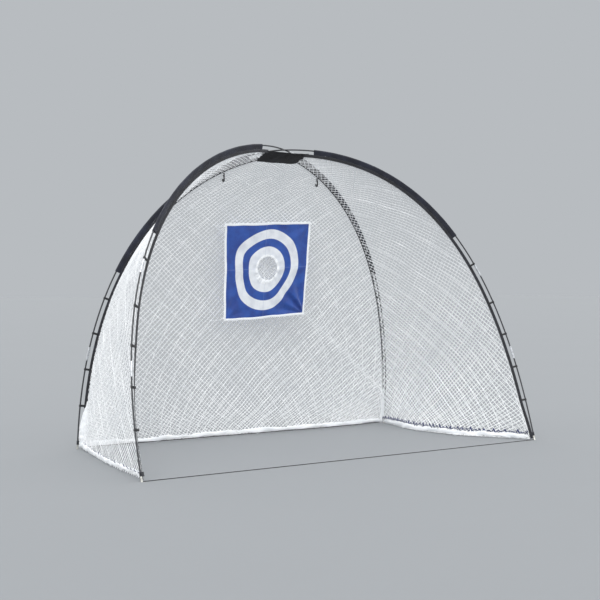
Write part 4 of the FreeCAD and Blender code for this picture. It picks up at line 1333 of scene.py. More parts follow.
@dataclass
class NetSheet:
    """A panel of netting between two legs.

    A cloth place is how far it lies across from the middle and up from the hem, with the netting taut. A flat
    place is the same with the netting as slack as it hangs.
    """

    label: str
    first: Leg
    first_side: int
    second: Leg
    second_side: int
    outward: Triple
    bow: Sequence[float] = ()
    billow: float = 0.012
    seed: int = 1
    gathers: list[Gather] = field(default_factory=list)
    edge: float = 0.044
    beside: float = 0.0018
    rows: int = 400
    hem_places: int = 200
    bow_span: int = 61
    bow_height: float = 0.62
    slack: float = 0.24
    slack_height: float = 0.5
    sag: float = 0.05
    gather_depth: float = 0.008
    twine: float = 0.0035
    knot: float = 0.0038

    def __post_init__(self) -> None:
        """Work out the two side lines and how wide the panel is at each height."""
        self.out = unit(np.array(self.outward))
        stop = CAGE.panel_reach + CAGE.net_overlap
        self.height = (self.first.length + self.second.length) / 2 - CAGE.binding_rise - stop
        self.shares = np.linspace(0.0, 1.0, self.rows)
        self.hem_shares = np.linspace(0.0, 1.0, self.hem_places)
        self.lines = []
        for leg, side in ((self.first, self.first_side), (self.second, self.second_side)):
            distances = CAGE.binding_rise + self.shares * (leg.length - stop - CAGE.binding_rise)
            self.lines.append(leg.offset(distances, self.edge - leg.drawn_in(distances), side * self.beside))
        self.widths = np.linalg.norm(self.lines[1] - self.lines[0], axis=1)

    def width(self, up: Array) -> Array:
        """Return how wide the panel is at heights above the hem."""
        return np.interp(up / self.height, self.shares, self.widths)

    def loosen(self, across: Array, up: Array) -> tuple[Array, Array]:
        """Return the flat places of cloth places: the netting hangs slack, and so finer, near the hem."""
        lower = np.exp(-up / self.slack_height)
        flat_up = up - self.slack * self.slack_height * (1 - lower)
        flat_across = across * (1 - self.slack * lower)
        side = np.clip(2 * flat_across / self.width(flat_up), -1.0, 1.0)
        hang = self.sag * (1 - side ** 2) * smooth_step(flat_up / 0.25) * smooth_step((1.7 - flat_up) / 0.9)
        return flat_across, flat_up - hang

    def covers(self, across: Array, up: Array) -> Array:
        """Say which cloth places lie on the panel."""
        flat_across, flat_up = self.loosen(across, up)
        on_height = (flat_up >= 0) & (flat_up <= self.height)
        return on_height & (np.abs(flat_across) <= self.width(flat_up) / 2)

    def drawn(self, across: Array, up: Array) -> tuple[Array, Array]:
        """Return flat places, moved where the netting is gathered, and how near each is to a gather.

        Args:
            across: how far each place is from the middle.
            up: how far it is up from the hem.

        Returns:
            The moved places, and for each about 1 on a gather and 0 far from all.
        """
        moved, raised = np.stack([across, up], axis=-1).astype(float), np.zeros_like(across)
        half = self.width(up) / 2
        free = smooth_step((half - np.abs(across)) / 0.03) * smooth_step(up / 0.03)
        free = free * smooth_step((self.height - up) / 0.05)
        for gather in self.gathers:
            start, stop = np.array(gather.start), np.array(gather.stop)
            along = unit(stop - start)
            square = np.array([-along[1], along[0]])
            reach = (moved - start) @ along / np.linalg.norm(stop - start)
            away = (moved - start) @ square
            near = np.exp(-(away / gather.width) ** 2) * smooth_step(reach / 0.12 + 0.4)
            near = near * smooth_step((1.1 - reach) / 0.12) * free
            pull = gather.pull + (gather.last_pull - gather.pull) * smooth_step(reach)
            moved = moved - square * (away * pull * near)[..., None]
            raised = raised + near
        return moved, raised

    def lay(self, across: Array, up: Array) -> Array:
        """Return the points in space of cloth places."""
        return self.place(*self.loosen(across, up))

    def place(self, across: Array, up: Array) -> Array:
        """Return the points in space of flat places.

        Args:
            across: how far each place is from the middle.
            up: how far it is up from the hem.

        Returns:
            A point for each place.
        """
        moved, raised = self.drawn(across, up)
        across, up = moved[..., 0], np.clip(moved[..., 1], 0.0, self.height)
        side, share = np.clip(across / self.width(up) + 0.5, 0.0, 1.0), up / self.height
        start, stop = (look_up(share, self.shares, line) for line in self.lines)
        free = np.sqrt(np.clip(4 * side * (1 - side), 0.0, 1.0)) * smooth_step((1 - share) / 0.15)
        loose = free * smooth_step(up / 0.08)
        wave = Ripples(self.seed, 0.22, 0.8).at(across, moved[..., 1])
        fine = Ripples(self.seed + 50, 0.06, 0.2).at(across, moved[..., 1]) * np.exp(-up / 0.35)
        depth = self.billow * loose * (0.6 + 0.5 * wave + 0.35 * fine) - self.gather_depth * raised
        inward = np.cross(UP, unit(self.lines[1][0] - self.lines[0][0]))
        inward = inward if inward @ self.out < 0 else -inward
        fade = np.clip(1 - up / self.bow_height, 0.0, 1.0) ** 2
        bowed = np.interp(side, self.hem_shares, self.smooth_bow()) * fade
        flat = start + (stop - start) * side[..., None]
        return flat + self.out * depth[..., None] + inward * bowed[..., None]

    def smooth_bow(self) -> Array:
        """Return how far the hem bows in at close shares across it, smooth through its given values."""
        values = np.array([0.0, *self.bow, 0.0])
        rounded = np.interp(self.hem_shares, np.linspace(0.0, 1.0, len(values)), values)
        spare = self.bow_span - 1
        padded = np.concatenate([-rounded[spare:0:-1], rounded, -rounded[-2:-2 - spare:-1]])
        return eased(padded, self.bow_span)[spare:-spare]

    def flat_of(self, across: float, height: float) -> Pair:
        """Return the flat place nearest to a share across the panel and a height above the ground."""
        middle = (self.lines[0] + self.lines[1]) / 2
        row = int(np.argmin(np.abs(middle[:, 2] - height)))
        return across * self.widths[row] / 2, row / (self.rows - 1) * self.height


def diamond_lines(inside: Inside, half: float, span: float) -> list[list[Array]]:
    """Return the twines of diamond netting as runs of places, one per knot.

    Args:
        inside: says which places lie on the netting.
        half: half the diagonal of a mesh.
        span: how far the netting reaches from its origin.

    Returns:
        Two lists, one for each direction, with one array of places for each twine.
    """
    count, steps = int(span / half) + 2, 15
    fine = np.arange(-count * half, count * half, half / steps)
    directions = []
    for slope in (1, -1):
        lines = []
        for column in range(-2 * count, 2 * count + 1, 2):
            across = column * half + slope * fine
            kept = np.flatnonzero(inside(across, fine))
            if len(kept) < steps / 2:
                continue
            low, high = fine[kept[0]], fine[kept[-1]]
            knots = np.arange(math.ceil(low / half + 0.05), math.floor(high / half - 0.05) + 1) * half
            ups = np.concatenate([[low], knots, [high]])
            lines.append(np.stack([column * half + slope * ups, ups], axis=1))
        directions.append(lines)
    return directions


def diamond_knots(inside: Inside, half: float, span: float) -> Array:
    """Return the flat places where the twines of diamond netting cross.

    Args:
        inside: says which places lie on the netting.
        half: half the diagonal of a mesh.
        span: how far the netting reaches from its origin.

    Returns:
        A row of two coordinates for each crossing.
    """
    count = int(span / half) + 2
    column, level = np.meshgrid(np.arange(-count, count + 1), np.arange(-count, count + 1))
    even = (column + level) % 2 == 0
    across, up = column[even] * half, level[even] * half
    kept = inside(across, up)
    return np.stack([across[kept], up[kept]], axis=1)


@dataclass
class NetWork:
    """Netting: twines as thin tubes with a knot at each crossing."""

    finishes: Finishes
    half: float = 0.0187
    resolution: int = 1

    def twines(self, name: str, runs: Sequence[Array], diameter: float) -> Piece:
        """Return tubes along runs of points, with closed ends.

        Args:
            name: the piece's name.
            runs: the points of each twine.
            diameter: the twine's diameter.

        Returns:
            The tubes as one mesh.
        """
        curve = Bench.curve(name, diameter, self.resolution)
        for run in runs:
            spline = curve.splines.new("POLY")
            spline.points.add(len(run) - 1)
            spline.points.foreach_set("co", np.column_stack([run, np.ones(len(run))]).ravel())
        Bench.hold(Bench.link(name, curve))
        bpy.ops.object.convert(target="MESH")
        return bpy.context.view_layer.objects.active

    def knots(self, name: str, middles: Array, radius: float) -> Piece:
        """Return one small lump, modelled once, at each of many points.

        Args:
            name: the piece's name.
            middles: the points.
            radius: a knot's radius.

        Returns:
            The knots as one mesh.
        """
        Bench.clear()
        bpy.ops.mesh.primitive_uv_sphere_add(segments=5, ring_count=3, radius=radius)
        lump = Bench.named("knot")
        shape = read_points(lump)
        faces = [list(polygon.vertices) for polygon in lump.data.polygons]
        bpy.data.objects.remove(lump)
        points = (middles[:, None, :] + shape[None]).reshape(-1, 3)
        every = [[corner + number * len(shape) for corner in face]
                 for number in range(len(middles)) for face in faces]
        mesh = bpy.data.meshes.new(name)
        mesh.from_pydata(points.tolist(), [], every)
        return Bench.link(name, mesh)

    def make_panel(self, sheet: NetSheet) -> None:
        """Make one panel of the cage's netting: the twines of each direction, and their knots.

        Args:
            sheet: the panel.
        """
        span = max(sheet.height, float(sheet.widths.max())) * 1.35
        directions = diamond_lines(sheet.covers, self.half, span)
        places = diamond_knots(sheet.covers, self.half, span)
        pieces = []
        for word, lines in zip(("rising", "falling"), directions):
            runs = [sheet.lay(*line.T) for line in lines]
            pieces.append(self.twines("netting_%s_%s" % (sheet.label, word), runs, sheet.twine))
        pieces.append(self.knots("netting_%s_knots" % sheet.label, sheet.lay(*places.T), sheet.knot))
        for piece in pieces:
            dress(piece, self.finishes.netting, replaces=["net_" + sheet.label], sharp=0)


@dataclass
class HemWork:
    """The folded hem of each net, its cord, and the netting bunched down to each foot."""

    finishes: Finishes
    band_height: float = 0.031
    band_thickness: float = 0.011
    sides: int = 20
    step: float = 0.0035
    band_girth: float = 0.06
    bunch_top: float = 0.34
    bunch_place: float = 0.044
    bunch_girth: float = 0.12
    bunch_start: float = 0.0025
    bunch_flat: float = 0.55

    def make_band(self, sheet: NetSheet, ends: Pair) -> None:
        """Make the folded white hem of a net, gathered and creased along its cord.

        Args:
            sheet: the net that it edges.
            ends: how full it is at its two ends, beside its fullness between them.
        """
        shares = np.linspace(0.012, 0.988, 22)
        points = sheet.place((shares - 0.5) * float(sheet.widths[0]), np.full(22, 0.004))
        route = Route(points + UP * (self.band_height / 2 - 0.003))
        band = Bench.rod("hem_band_" + sheet.label, 1.0, route.length, self.sides,
                         int(route.length / self.step))
        turn, along = read_round(band)
        around = turn * 0.012
        full = 1 + 0.26 * Ripples(sheet.seed + 20, 0.05, 0.25).along(along)
        full = full * (1 + 0.22 * Ripples(sheet.seed + 23, 0.016, 0.05).at(along, around))
        thick = 1 + 0.5 * Ripples(sheet.seed + 21, 0.011, 0.04).at(along, around * 1.5)
        start = 1 + (ends[0] - 1) * np.exp(-along / 0.07)
        stop = 1 + (ends[1] - 1) * np.exp(-(route.length - along) / 0.07)
        tips = 0.3 + 0.7 * smooth_step(np.minimum(along, route.length - along) / 0.03)
        high = self.band_height / 2 * np.cos(turn) * full * start * stop * tips
        wide = self.band_thickness / 2 * np.sin(turn) * thick * start * stop * tips
        sway = 0.006 * Ripples(sheet.seed + 22, 0.09, 0.5).along(along)
        roll = 0.35 * Ripples(sheet.seed + 24, 0.08, 0.35).along(along)
        high, wide = high * np.cos(roll) - wide * np.sin(roll), high * np.sin(roll) + wide * np.cos(roll)
        rise = 0.0045 * Ripples(sheet.seed + 25, 0.07, 0.3).along(along)
        write_points(band, np.column_stack([high + rise, wide + sway, along]))
        unroll(band, round_way(turn, self.band_girth), along, self.band_girth)
        self.settle(band, route, 0.0006, 75)

    def settle(self, piece: Piece, route: Route, lowest: float, degrees: float) -> None:
        """Lay a white piece along its route, pressed up to its lowest height, and finish it."""
        lay_along(piece, route)
        rows = read_points(piece)
        rows[:, 2] = np.maximum(rows[:, 2], lowest)
        write_points(piece, rows)
        dress(piece, self.finishes.white, sharp=degrees)

    def make_bunch(self, leg: Leg, half_width: float, foot_place: float, growth: float) -> None:
        """Make the netting that is bunched in folds down the inside of a back leg to its foot.

        Args:
            leg: the leg.
            half_width: half the width of the bunch at the foot.
            foot_place: how far inside the pole its middle is at the foot.
            growth: how far it runs before it is at its full width.
        """
        distances = np.linspace(self.bunch_top, 0.012, 12)
        drop = smooth_step((self.bunch_top - distances) / 0.3)
        points = leg.offset(distances, self.bunch_place + (foot_place - self.bunch_place) * drop)
        route = Route(points, (-leg.side, -0.4 * leg.backward, 0.0))
        bunch = Bench.rod("net_bunch_" + leg.label, 1.0, route.length, 64, int(route.length / self.step))
        turn, along = read_round(bunch)
        radius = self.bunch_start + (half_width - self.bunch_start) * smooth_step(along / growth)
        twist = 9 * along + 0.9 * Ripples(leg.side + 40, 0.1, 0.3).along(along)
        folds = 0.1 * np.cos(9 * turn + 2 * twist) + 0.07 * np.cos(15 * turn - 3 * twist)
        lumps = 0.12 * Ripples(leg.side + 44, 0.02, 0.08).at(along, turn * 0.02)
        tips = smooth_step(np.minimum(along / 0.03, (route.length - along) / 0.008) + 0.15)
        radius = radius * (1 + folds + lumps) * tips
        rows = [radius * np.cos(turn), self.bunch_flat * radius * np.sin(turn), along]
        write_points(bunch, np.column_stack(rows))
        unroll(bunch, round_way(turn, self.bunch_girth), along, self.bunch_girth)
        self.settle(bunch, route, 0.0008, 80)

    def make_lace(self, sheet: NetSheet, finish: bpy.types.Material, rise: float,
                  swing: Pair, inward: float, pitch: float, cord: float) -> None:
        """Make the cord of a hem, which winds in and out of the lowest meshes.

        Args:
            sheet: the net that it laces.
            finish: its material.
            rise: how far up the net its middle runs.
            swing: how far it winds up and down, and to each side of the net.
            inward: how far it lies toward the inside of the cage.
            pitch: how far it runs for one turn.
            cord: its diameter.
        """
        width = float(sheet.widths[0])
        count = max(int(width / pitch * 10), 40)
        across = (np.linspace(0.015, 0.985, count) - 0.5) * width
        points = sheet.place(across, np.full(count, rise))
        turn = 2 * math.pi * across / pitch
        flat_out = unit(sheet.out * np.array([1.0, 1.0, 0.0]))
        points = points + UP * (np.cos(turn) * swing[0])[:, None]
        points = points + np.outer(np.sin(turn) * swing[1] - inward, flat_out)
        points[:, 2] = np.maximum(points[:, 2], cord / 2 + 0.0004)
        route = Route(points, spread=3)
        lace = Bench.rod("hem_lace_" + sheet.label, cord / 2, route.length, 10, int(route.length / 0.0045))
        unroll_round(lace, cord / 2)
        lay_along(lace, route)
        dress(lace, finish, replaces=["hem_cord_" + sheet.label])


@dataclass
class CrownWork:
    """The black panel under the crossing of the poles."""

    finishes: Finishes
    legs: Sequence[Leg]
    thickness: float = 0.0018
    sag: float = 0.008
    hem_width: float = 0.009
    cells: tuple[int, int] = (64, 28)
    front_rise: float = 0.026
    front_spread: float = 0.018

    def corners(self, left: Leg, right: Leg, spread: float, rise: float) -> tuple[Array, Array]:
        """Return two corners of the panel, level with each other.

        Args:
            left: the leg at the left corner.
            right: the leg at the right corner.
            spread: how far each corner is stretched outward.
            rise: how far they are stretched up.

        Returns:
            The left corner and the right one.
        """
        below = CAGE.binding_inner + CAGE.fit_gap
        ends = [leg.offset(np.array([leg.length - CAGE.panel_reach]), below)[0] for leg in (left, right)]
        half = (abs(ends[0][0]) + abs(ends[1][0])) / 2 + spread
        setback, height = (ends[0][1] + ends[1][1]) / 2, min(ends[0][2], ends[1][2]) + rise
        return np.array([-half, setback, height]), np.array([half, setback, height])

    def make(self) -> None:
        """Make the panel from one grid, stretched up to the sleeves in front and slack in its middle."""
        front_left, front_right, back_left, back_right = self.legs
        front = self.corners(front_left, front_right, self.front_spread, self.front_rise)
        back = self.corners(back_left, back_right, 0.0, 0.0)
        panel = Bench.grid("crown_cloth", self.cells, 2)
        rows = read_points(panel)
        side, deep = (rows[:, 0] + 1) / 2, (rows[:, 1] + 1) / 2
        near = front[0] + (front[1] - front[0]) * side[:, None]
        far = back[0] + (back[1] - back[0]) * side[:, None]
        points = near + (far - near) * deep[:, None]
        width, back_width = (float(np.linalg.norm(ends[1] - ends[0])) for ends in (front, back))
        depth = float(np.linalg.norm((back[0] + back[1] - front[0] - front[1]) / 2))
        slack = 4 * side * (1 - side) * (0.4 + 2.4 * deep * (1 - deep))
        wave = Ripples(61, 0.05, 0.2).at(points[:, 0], points[:, 1])
        pulls = 0.002 * np.cos(math.pi * 5 * side) * np.exp(-np.minimum(side, 1 - side) / 0.12)
        hem = np.minimum(np.minimum(side, 1 - side) * width, np.minimum(deep, 1 - deep) * depth)
        hem = hem < self.hem_width
        points = points - UP * (slack * self.sag + 0.0016 * wave + pulls + 0.0007 * hem)[:, None]
        unroll(panel, points[:, 0], points[:, 1])
        write_points(panel, points)
        Bench.apply(panel, "SOLIDIFY", thickness=self.thickness, offset=-1)
        dress(panel, self.finishes.crown, replaces=["crown_panel"], sharp=60)


class Crease(NamedTuple):
    """A crease across the target, upright at 0 or level at 1: its place, height and width."""

    axis: int
    place: float
    height: float
    width: float


class Pull(NamedTuple):
    """Folds that fan from a corner of the target: how high, how many, and where they are highest."""

    side: int
    level: int
    height: float
    count: float
    phase: float
    reach: float
    width: float


@dataclass
class TargetWork:
    """The target: a printed sheet with a bound edge, a mesh pocket behind its hole, and its ties."""

    finishes: Finishes
    width: float = 0.7
    height: float = 0.655
    edge: float = 0.014
    setback: float = 1.078
    top: float = 1.513
    offset: float = 0.008
    tilt: float = 6.6
    roll: float = 3.0
    hole: float = 0.09
    hole_rise: float = 0.012
    pocket_depth: float = 0.055
    mesh: float = 0.0135
    pocket_twine: float = 0.003
    cells: float = 0.0065
    thickness: float = 0.0012
    tucked: float = 0.006
    overhang: float = 0.01
    tie_inset: float = 0.01
    corner_pull: float = 0.044
    tape_half: float = 0.0018
    tape_rounding: float = 0.0012
    tape_step: float = 0.005
    seam_out: float = 0.003
    seam_wall: float = 0.0085
    seam_girth: float = 0.565
    stitch_twine: float = 0.0042
    tie_radius: float = 0.0019
    tie_mapped: float = 0.002
    tie_fall: float = 0.006
    tie_reach: Triple = (0.035, 0.1, 0.02)
    knots: Pair = (0.0062, 0.005)
    creases: tuple[Crease, ...] = (Crease(1, 0.004, 0.0045, 0.05), Crease(0, -0.012, 0.004, 0.045),
                                   Crease(1, -0.165, 0.002, 0.03), Crease(0, 0.17, -0.0018, 0.03),
                                   Crease(1, 0.17, -0.0015, 0.03))
    pulls: tuple[Pull, ...] = (Pull(1, -1, 0.0085, 12, 0.4, 0.15, 0.1), Pull(-1, -1, 0.003, 9, 0, 0.12, 0.08),
                               Pull(1, 1, 0.003, 8, 0, 0.11, 0.07))
    print_shift: float = -0.007
    print_turns: tuple[float, ...] = (0, 41, 90, 105, 125, 150, 180, 206, 225, 248, 270, 285, 308, 324)
    print_reach: tuple[float, ...] = (283, 299, 283, 276, 276, 296, 269, 276, 303, 297, 296, 298, 272, 262)

    def __post_init__(self) -> None:
        """Work out the place of the target's middle."""
        top = Matrix.Translation((self.offset, self.setback - CAGE.foot_middle, self.top))
        rolled = Matrix.Rotation(math.radians(-self.roll), 4, "Y")
        tilted = Matrix.Rotation(math.radians(self.tilt), 4, "X")
        self.middle = top @ (rolled @ tilted) @ Matrix.Translation((0, 0, -self.height / 2))

    def relief(self, across: Array, up: Array) -> Array:
        """Return how far the cloth stands forward at places on it: folds, creases and pulled corners.

        Args:
            across: how far each place is to the right of the middle.
            up: how far it is above it.

        Returns:
            How far forward each place stands.
        """
        half_wide, half_high = self.width / 2, self.height / 2
        folds = 0.0028 * Ripples(5, 0.12, 0.5).at(across, up)
        for crease in self.creases:
            beside = np.abs((across, up)[crease.axis] - crease.place)
            folds = folds + crease.height * np.exp(-beside / crease.width)
        for pull in self.pulls:
            aside, above = half_wide - pull.side * across, half_high - pull.level * up
            fan = pull.height * np.cos(np.arctan2(above, aside) * pull.count + pull.phase)
            folds = folds + fan * np.exp(-((np.hypot(aside, above) - pull.reach) / pull.width) ** 2)
        corner = np.hypot(half_wide - across, half_high + up)
        diagonal = np.abs((across - 0.225) + (up + 0.175)) / math.sqrt(2)
        folds = folds + 0.008 * np.exp(-(diagonal / 0.012) ** 2) * np.exp(-(corner / 0.24) ** 4)
        away, turn = np.hypot(across, up - self.hole_rise), np.arctan2(up - self.hole_rise, across)
        pucker = 0.0022 * np.cos(11 * turn + 1.1) * np.exp(-((away - self.hole) / 0.04) ** 2)
        sewn = smooth_step((half_wide - np.abs(across)) / 0.03) * smooth_step((half_high - np.abs(up)) / 0.03)
        return folds * (0.25 + 0.75 * sewn) + pucker

    def hang(self, across: Array, up: Array) -> tuple[Array, Array]:
        """Return where cloth places hang: the lower right corner is drawn in and the edges are wavy.

        Args:
            across: how far each place is to the right of the middle.
            up: how far it is above it.

        Returns:
            The two coordinates of where they hang.
        """
        right = (across + self.width / 2) / self.width
        down = (self.height / 2 - up) / self.height
        drawn = self.corner_pull * np.clip(right, 0, 1) * np.clip(down, 0, 1) ** 1.1
        side_wave = 0.0022 * Ripples(72, 0.12, 0.4).along(up) * np.abs(2 * right - 1)
        top_wave = 0.0022 * Ripples(73, 0.12, 0.4).along(across) * np.abs(2 * down - 1)
        sag = -0.005 * np.clip(down, 0, 1) ** 2 * np.sin(math.pi * np.clip(right + 0.12, 0, 1))
        return across - drawn + side_wave, up + top_wave + sag

    def in_space(self, across: Array, up: Array, forward: Array) -> Array:
        """Return points in space of cloth places: across, up from the middle and forward.

        Args:
            across: how far each place is to the right of the middle.
            up: how far it is above it.
            forward: how far it stands forward.

        Returns:
            A point for each place.
        """
        hung_across, hung_up = self.hang(across, up)
        local = np.stack([hung_across, -forward, hung_up], axis=-1)
        turn = np.array(self.middle.to_3x3())
        return local @ turn.T + np.array(self.middle.translation)

    def print_factor(self, across: Array, up: Array) -> Array:
        """Return how far the print reaches at each place, beside a true circle: its folds draw it in.

        Args:
            across: how far each place is to the right of the middle.
            up: how far it is above it.

        Returns:
            The factor at each place.
        """
        turn = np.degrees(np.arctan2(up, across)) % 360
        turns = np.array([*self.print_turns, 360.0])
        mean = sum(self.print_reach) / len(self.print_reach)
        reach = np.array([*self.print_reach, self.print_reach[0]]) / mean
        every, spare = np.arange(0, 360, 2.0), 20
        ring = np.interp(every, turns, reach)
        rounded = eased(np.concatenate([ring[-spare:], ring, ring[:spare]]), 13)[spare:-spare]
        factor = np.interp(turn, every, rounded, period=360)
        blend = smooth_step((np.hypot(across, up) - self.hole) / 0.12)
        return 1 + (factor - 1) * blend

    def make_sheet(self) -> Piece:
        """Make the printed sheet from one grid, with its hole cut out and its print laid on it."""
        wide, high = self.width - self.edge + self.tucked, self.height - self.edge + self.tucked
        cells = (int(wide / self.cells), int(high / self.cells))
        sheet = Bench.grid("target_cloth", cells, 1, math.pi / 2)
        write_points(sheet, read_points(sheet) * np.array([wide, 1.0, high]))
        middle = Vector((0, 0, self.hole_rise))
        Bench.pick(sheet, Element.FACE, lambda place, normal: (place - middle).length < self.hole)
        bpy.ops.mesh.delete(type="FACE")
        Bench.done()
        rows = read_points(sheet)
        away = np.hypot(rows[:, 0], rows[:, 2] - self.hole_rise)
        scale = np.where(away < self.hole + 0.7 * self.cells, self.hole / away, 1.0)
        across, up = rows[:, 0] * scale, (rows[:, 2] - self.hole_rise) * scale + self.hole_rise
        printed_across, printed_up = across - self.print_shift, up - self.hole_rise
        factor = self.print_factor(printed_across, printed_up)
        unroll(sheet, printed_across / factor, printed_up / factor)
        write_points(sheet, self.in_space(across, up, self.relief(across, up)))
        Bench.apply(sheet, "SOLIDIFY", thickness=self.thickness, offset=0)
        dress(sheet, self.finishes.target, TARGET_BODY, ["target_sheet"], sharp=60)
        return sheet

    def make_binding(self) -> Piece:
        """Make the white tape folded over the edge of the target, all the way round."""
        inset = self.edge / 2
        outer = inset + self.overhang
        corner = np.array([self.width / 2 - inset, self.height / 2 - inset])
        corners = [corner * turned for turned in ((-1, -1), (1, -1), (1, 1), (-1, 1))]
        sides = []
        for start, stop in zip(corners, corners[1:] + corners[:1]):
            along = unit(stop - start)
            start, stop = start - along * outer, stop + along * outer
            length = float(np.linalg.norm(stop - start))
            side = Bench.strip("tape", (-outer, -self.tape_half), (0.0, self.tape_half), length,
                               int(length / self.tape_step), self.tape_rounding)
            rows = read_points(side)
            square = np.array([-along[1], along[0]])
            bunch = 1 + 0.25 * Ripples(71, 0.012, 0.04).at(rows[:, 2], rows[:, 0])
            rough = 1 + 0.07 * Ripples(74, 0.02, 0.09).along(rows[:, 2] + start[0])
            place = start + rows[:, 2:3] * along + (rows[:, 0] * rough)[:, None] * square
            unroll(side, rows[:, 0], rows[:, 2])
            forward = self.relief(place[:, 0], place[:, 1]) - rows[:, 1] * bunch
            write_points(side, self.in_space(place[:, 0], place[:, 1], forward))
            sides.append(side)
        tape = Bench.join(sides, "target_tape")
        return dress(tape, self.finishes.white, TARGET_BODY, ["target_binding"], sharp=60)

    def make_seam(self) -> Piece:
        """Make the gathered white seam round the hole, where the pocket is sewn on."""
        radius = self.hole + self.seam_out
        seam = Bench.ring("pocket_seam", radius, self.seam_wall, (200, 20), (math.pi / 2, 0, 0))
        rows = read_points(seam)
        turn, away = np.arctan2(rows[:, 2], rows[:, 0]), np.hypot(rows[:, 0], rows[:, 2])
        outside = away - radius
        lower_left = np.exp(-(((turn + 2.3) / 0.9) ** 2))
        tucked = (0.0009 + 0.0016 * lower_left) * np.cos(26 * turn) + 0.0005 * np.cos(57 * turn + 1)
        wider = 0.9 * lower_left + 0.25 * Ripples(76, 0.3, 1.2).along(turn)
        scale = 1 + outside * wider / away
        across, up = rows[:, 0] * scale, rows[:, 2] * scale + self.hole_rise
        forward = -rows[:, 1] * 0.28 - 0.0004 + tucked * (1 - np.abs(outside) / 0.009)
        unroll(seam, round_way(turn, self.seam_girth), outside - rows[:, 1], self.seam_girth)
        write_points(seam, self.in_space(across, up, forward + self.relief(across, up)))
        return dress(seam, self.finishes.white, TARGET_BODY, ["target_pocket_ring"], sharp=70)

    def make_pocket(self, nets: NetWork) -> None:
        """Make the mesh pocket behind the hole, from fine netting drawn into a shallow cup.

        Args:
            nets: the maker of netting.
        """
        mouth = self.hole + 0.006

        def inside(across: Array, up: Array) -> Array:
            """Say which cloth places lie within the mouth."""
            return np.hypot(across, up) <= mouth

        def cup(places: Array) -> Array:
            """Return the points in space of places in the pocket."""
            share = np.hypot(places[:, 0], places[:, 1]) / mouth
            deep = smooth_step((1 - share) / 0.3)
            wave = 0.002 * Ripples(81, 0.04, 0.12).at(places[:, 0], places[:, 1]) * deep
            across, up = places[:, 0] * (1 - 0.1 * deep), places[:, 1] * (1 - 0.1 * deep)
            return self.in_space(across, up - 0.003 * deep + self.hole_rise,
                                 wave - 0.001 - (self.pocket_depth - 0.006) * deep)

        lines = [self.refine(line) for lines in diamond_lines(inside, self.mesh, mouth) for line in lines]
        twines = nets.twines("pocket_twines", [cup(line) for line in lines], self.pocket_twine)
        knots = nets.knots("pocket_knots", cup(diamond_knots(inside, self.mesh, mouth)), self.pocket_twine)
        seam = np.linspace(-0.98, 0.98, 40) * mouth
        stitches = np.stack([np.full(len(seam), 0.012), seam], axis=1)
        stitched = nets.twines("pocket_stitch", [cup(stitches)], self.stitch_twine)
        pocket = Bench.join([twines, knots, stitched], "pocket_mesh")
        dress(pocket, self.finishes.netting, TARGET_BODY, ["target_pocket"], 0)

    def refine(self, line: Array) -> Array:
        """Return a run of places with one more between each two."""
        count = len(line)
        return look_up(np.arange(2 * count - 1) / 2, np.arange(count), line)

    def make_ties(self, nets: NetWork, sheet: NetSheet) -> None:
        """Make the white cords that tie the corners of the target to the netting behind it.

        Args:
            nets: the maker of netting.
            sheet: the net behind the target.
        """
        points = sheet.lay(*diamond_knots(sheet.covers, nets.half, sheet.height).T)
        parts = []
        for side, level in ((-1, 1), (-1, -1), (1, 1), (1, -1)):
            across = np.array(side * (self.width / 2 + self.overhang))
            up = np.array(level * (self.height / 2 - self.tie_inset))
            corner = self.in_space(across, up, self.relief(across, up))
            wished = corner + np.array([side, 1, level]) * self.tie_reach
            behind = points[np.argmin(np.linalg.norm(points - wished, axis=1))]
            route = Route(np.array([corner, (corner + behind) / 2 - UP * self.tie_fall, behind]))
            cord = Bench.rod("tie", self.tie_radius, route.length, 8, 16)
            unroll_round(cord, self.tie_mapped)
            lay_along(cord, route)
            parts.append(cord)
            for place, radius in zip((corner, behind), self.knots):
                knot = Bench.ring("tie_knot", radius * 0.6, radius * 0.5, (20, 10), (0.5, side * 0.9, 0.3))
                rows = read_points(knot)
                unroll(knot, rows[:, 0], rows[:, 2])
                write_points(knot, rows + place)
                parts.append(knot)
        ties = Bench.join(parts, "tie_cords")
        dress(ties, self.finishes.white_cord, replaces=["target_ties"], sharp=60)

    def make(self, nets: NetWork, behind: NetSheet) -> None:
        """Make every part of the target.

        Args:
            nets: the maker of netting.
            behind: the net behind the target.
        """
        sheet = self.make_sheet()
        tape = self.make_binding()
        seam = self.make_seam()
        self.make_pocket(nets)
        self.make_ties(nets, behind)


@dataclass
class GroundWork:
    """The black cord that keeps the front feet apart, taut on the ground."""

    finishes: Finishes
    diameter: float = 0.004
    length: float = 3.036

    def make(self) -> None:
        """Make the cord as one taut run between the tips of the front feet."""
        low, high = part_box("ground_cord")
        y, z = (low.y + high.y) / 2, (low.z + high.z) / 2
        curve = Bench.curve("ground_rope", self.diameter, 3)
        spline = curve.splines.new("NURBS")
        xs = (low.x, low.x + 0.25, low.x + 0.9, 0.1, high.x - 0.8, high.x - 0.2, high.x)
        bows = (0.0, -0.002, -0.005, -0.004, -0.006, -0.002, 0.0)
        spline.points.add(len(xs) - 1)
        for point, x, bow in zip(spline.points, xs, bows):
            point.co = (x, y + bow, z, 1.0)
        spline.order_u = 3
        spline.use_endpoint_u = True
        spline.resolution_u = 12
        rope = Bench.link("ground_rope", curve)
        rope.data.materials.append(self.finishes.black_cord)
        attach(rope, FRAME_BODY)
        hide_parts("ground_cord")
        self.length


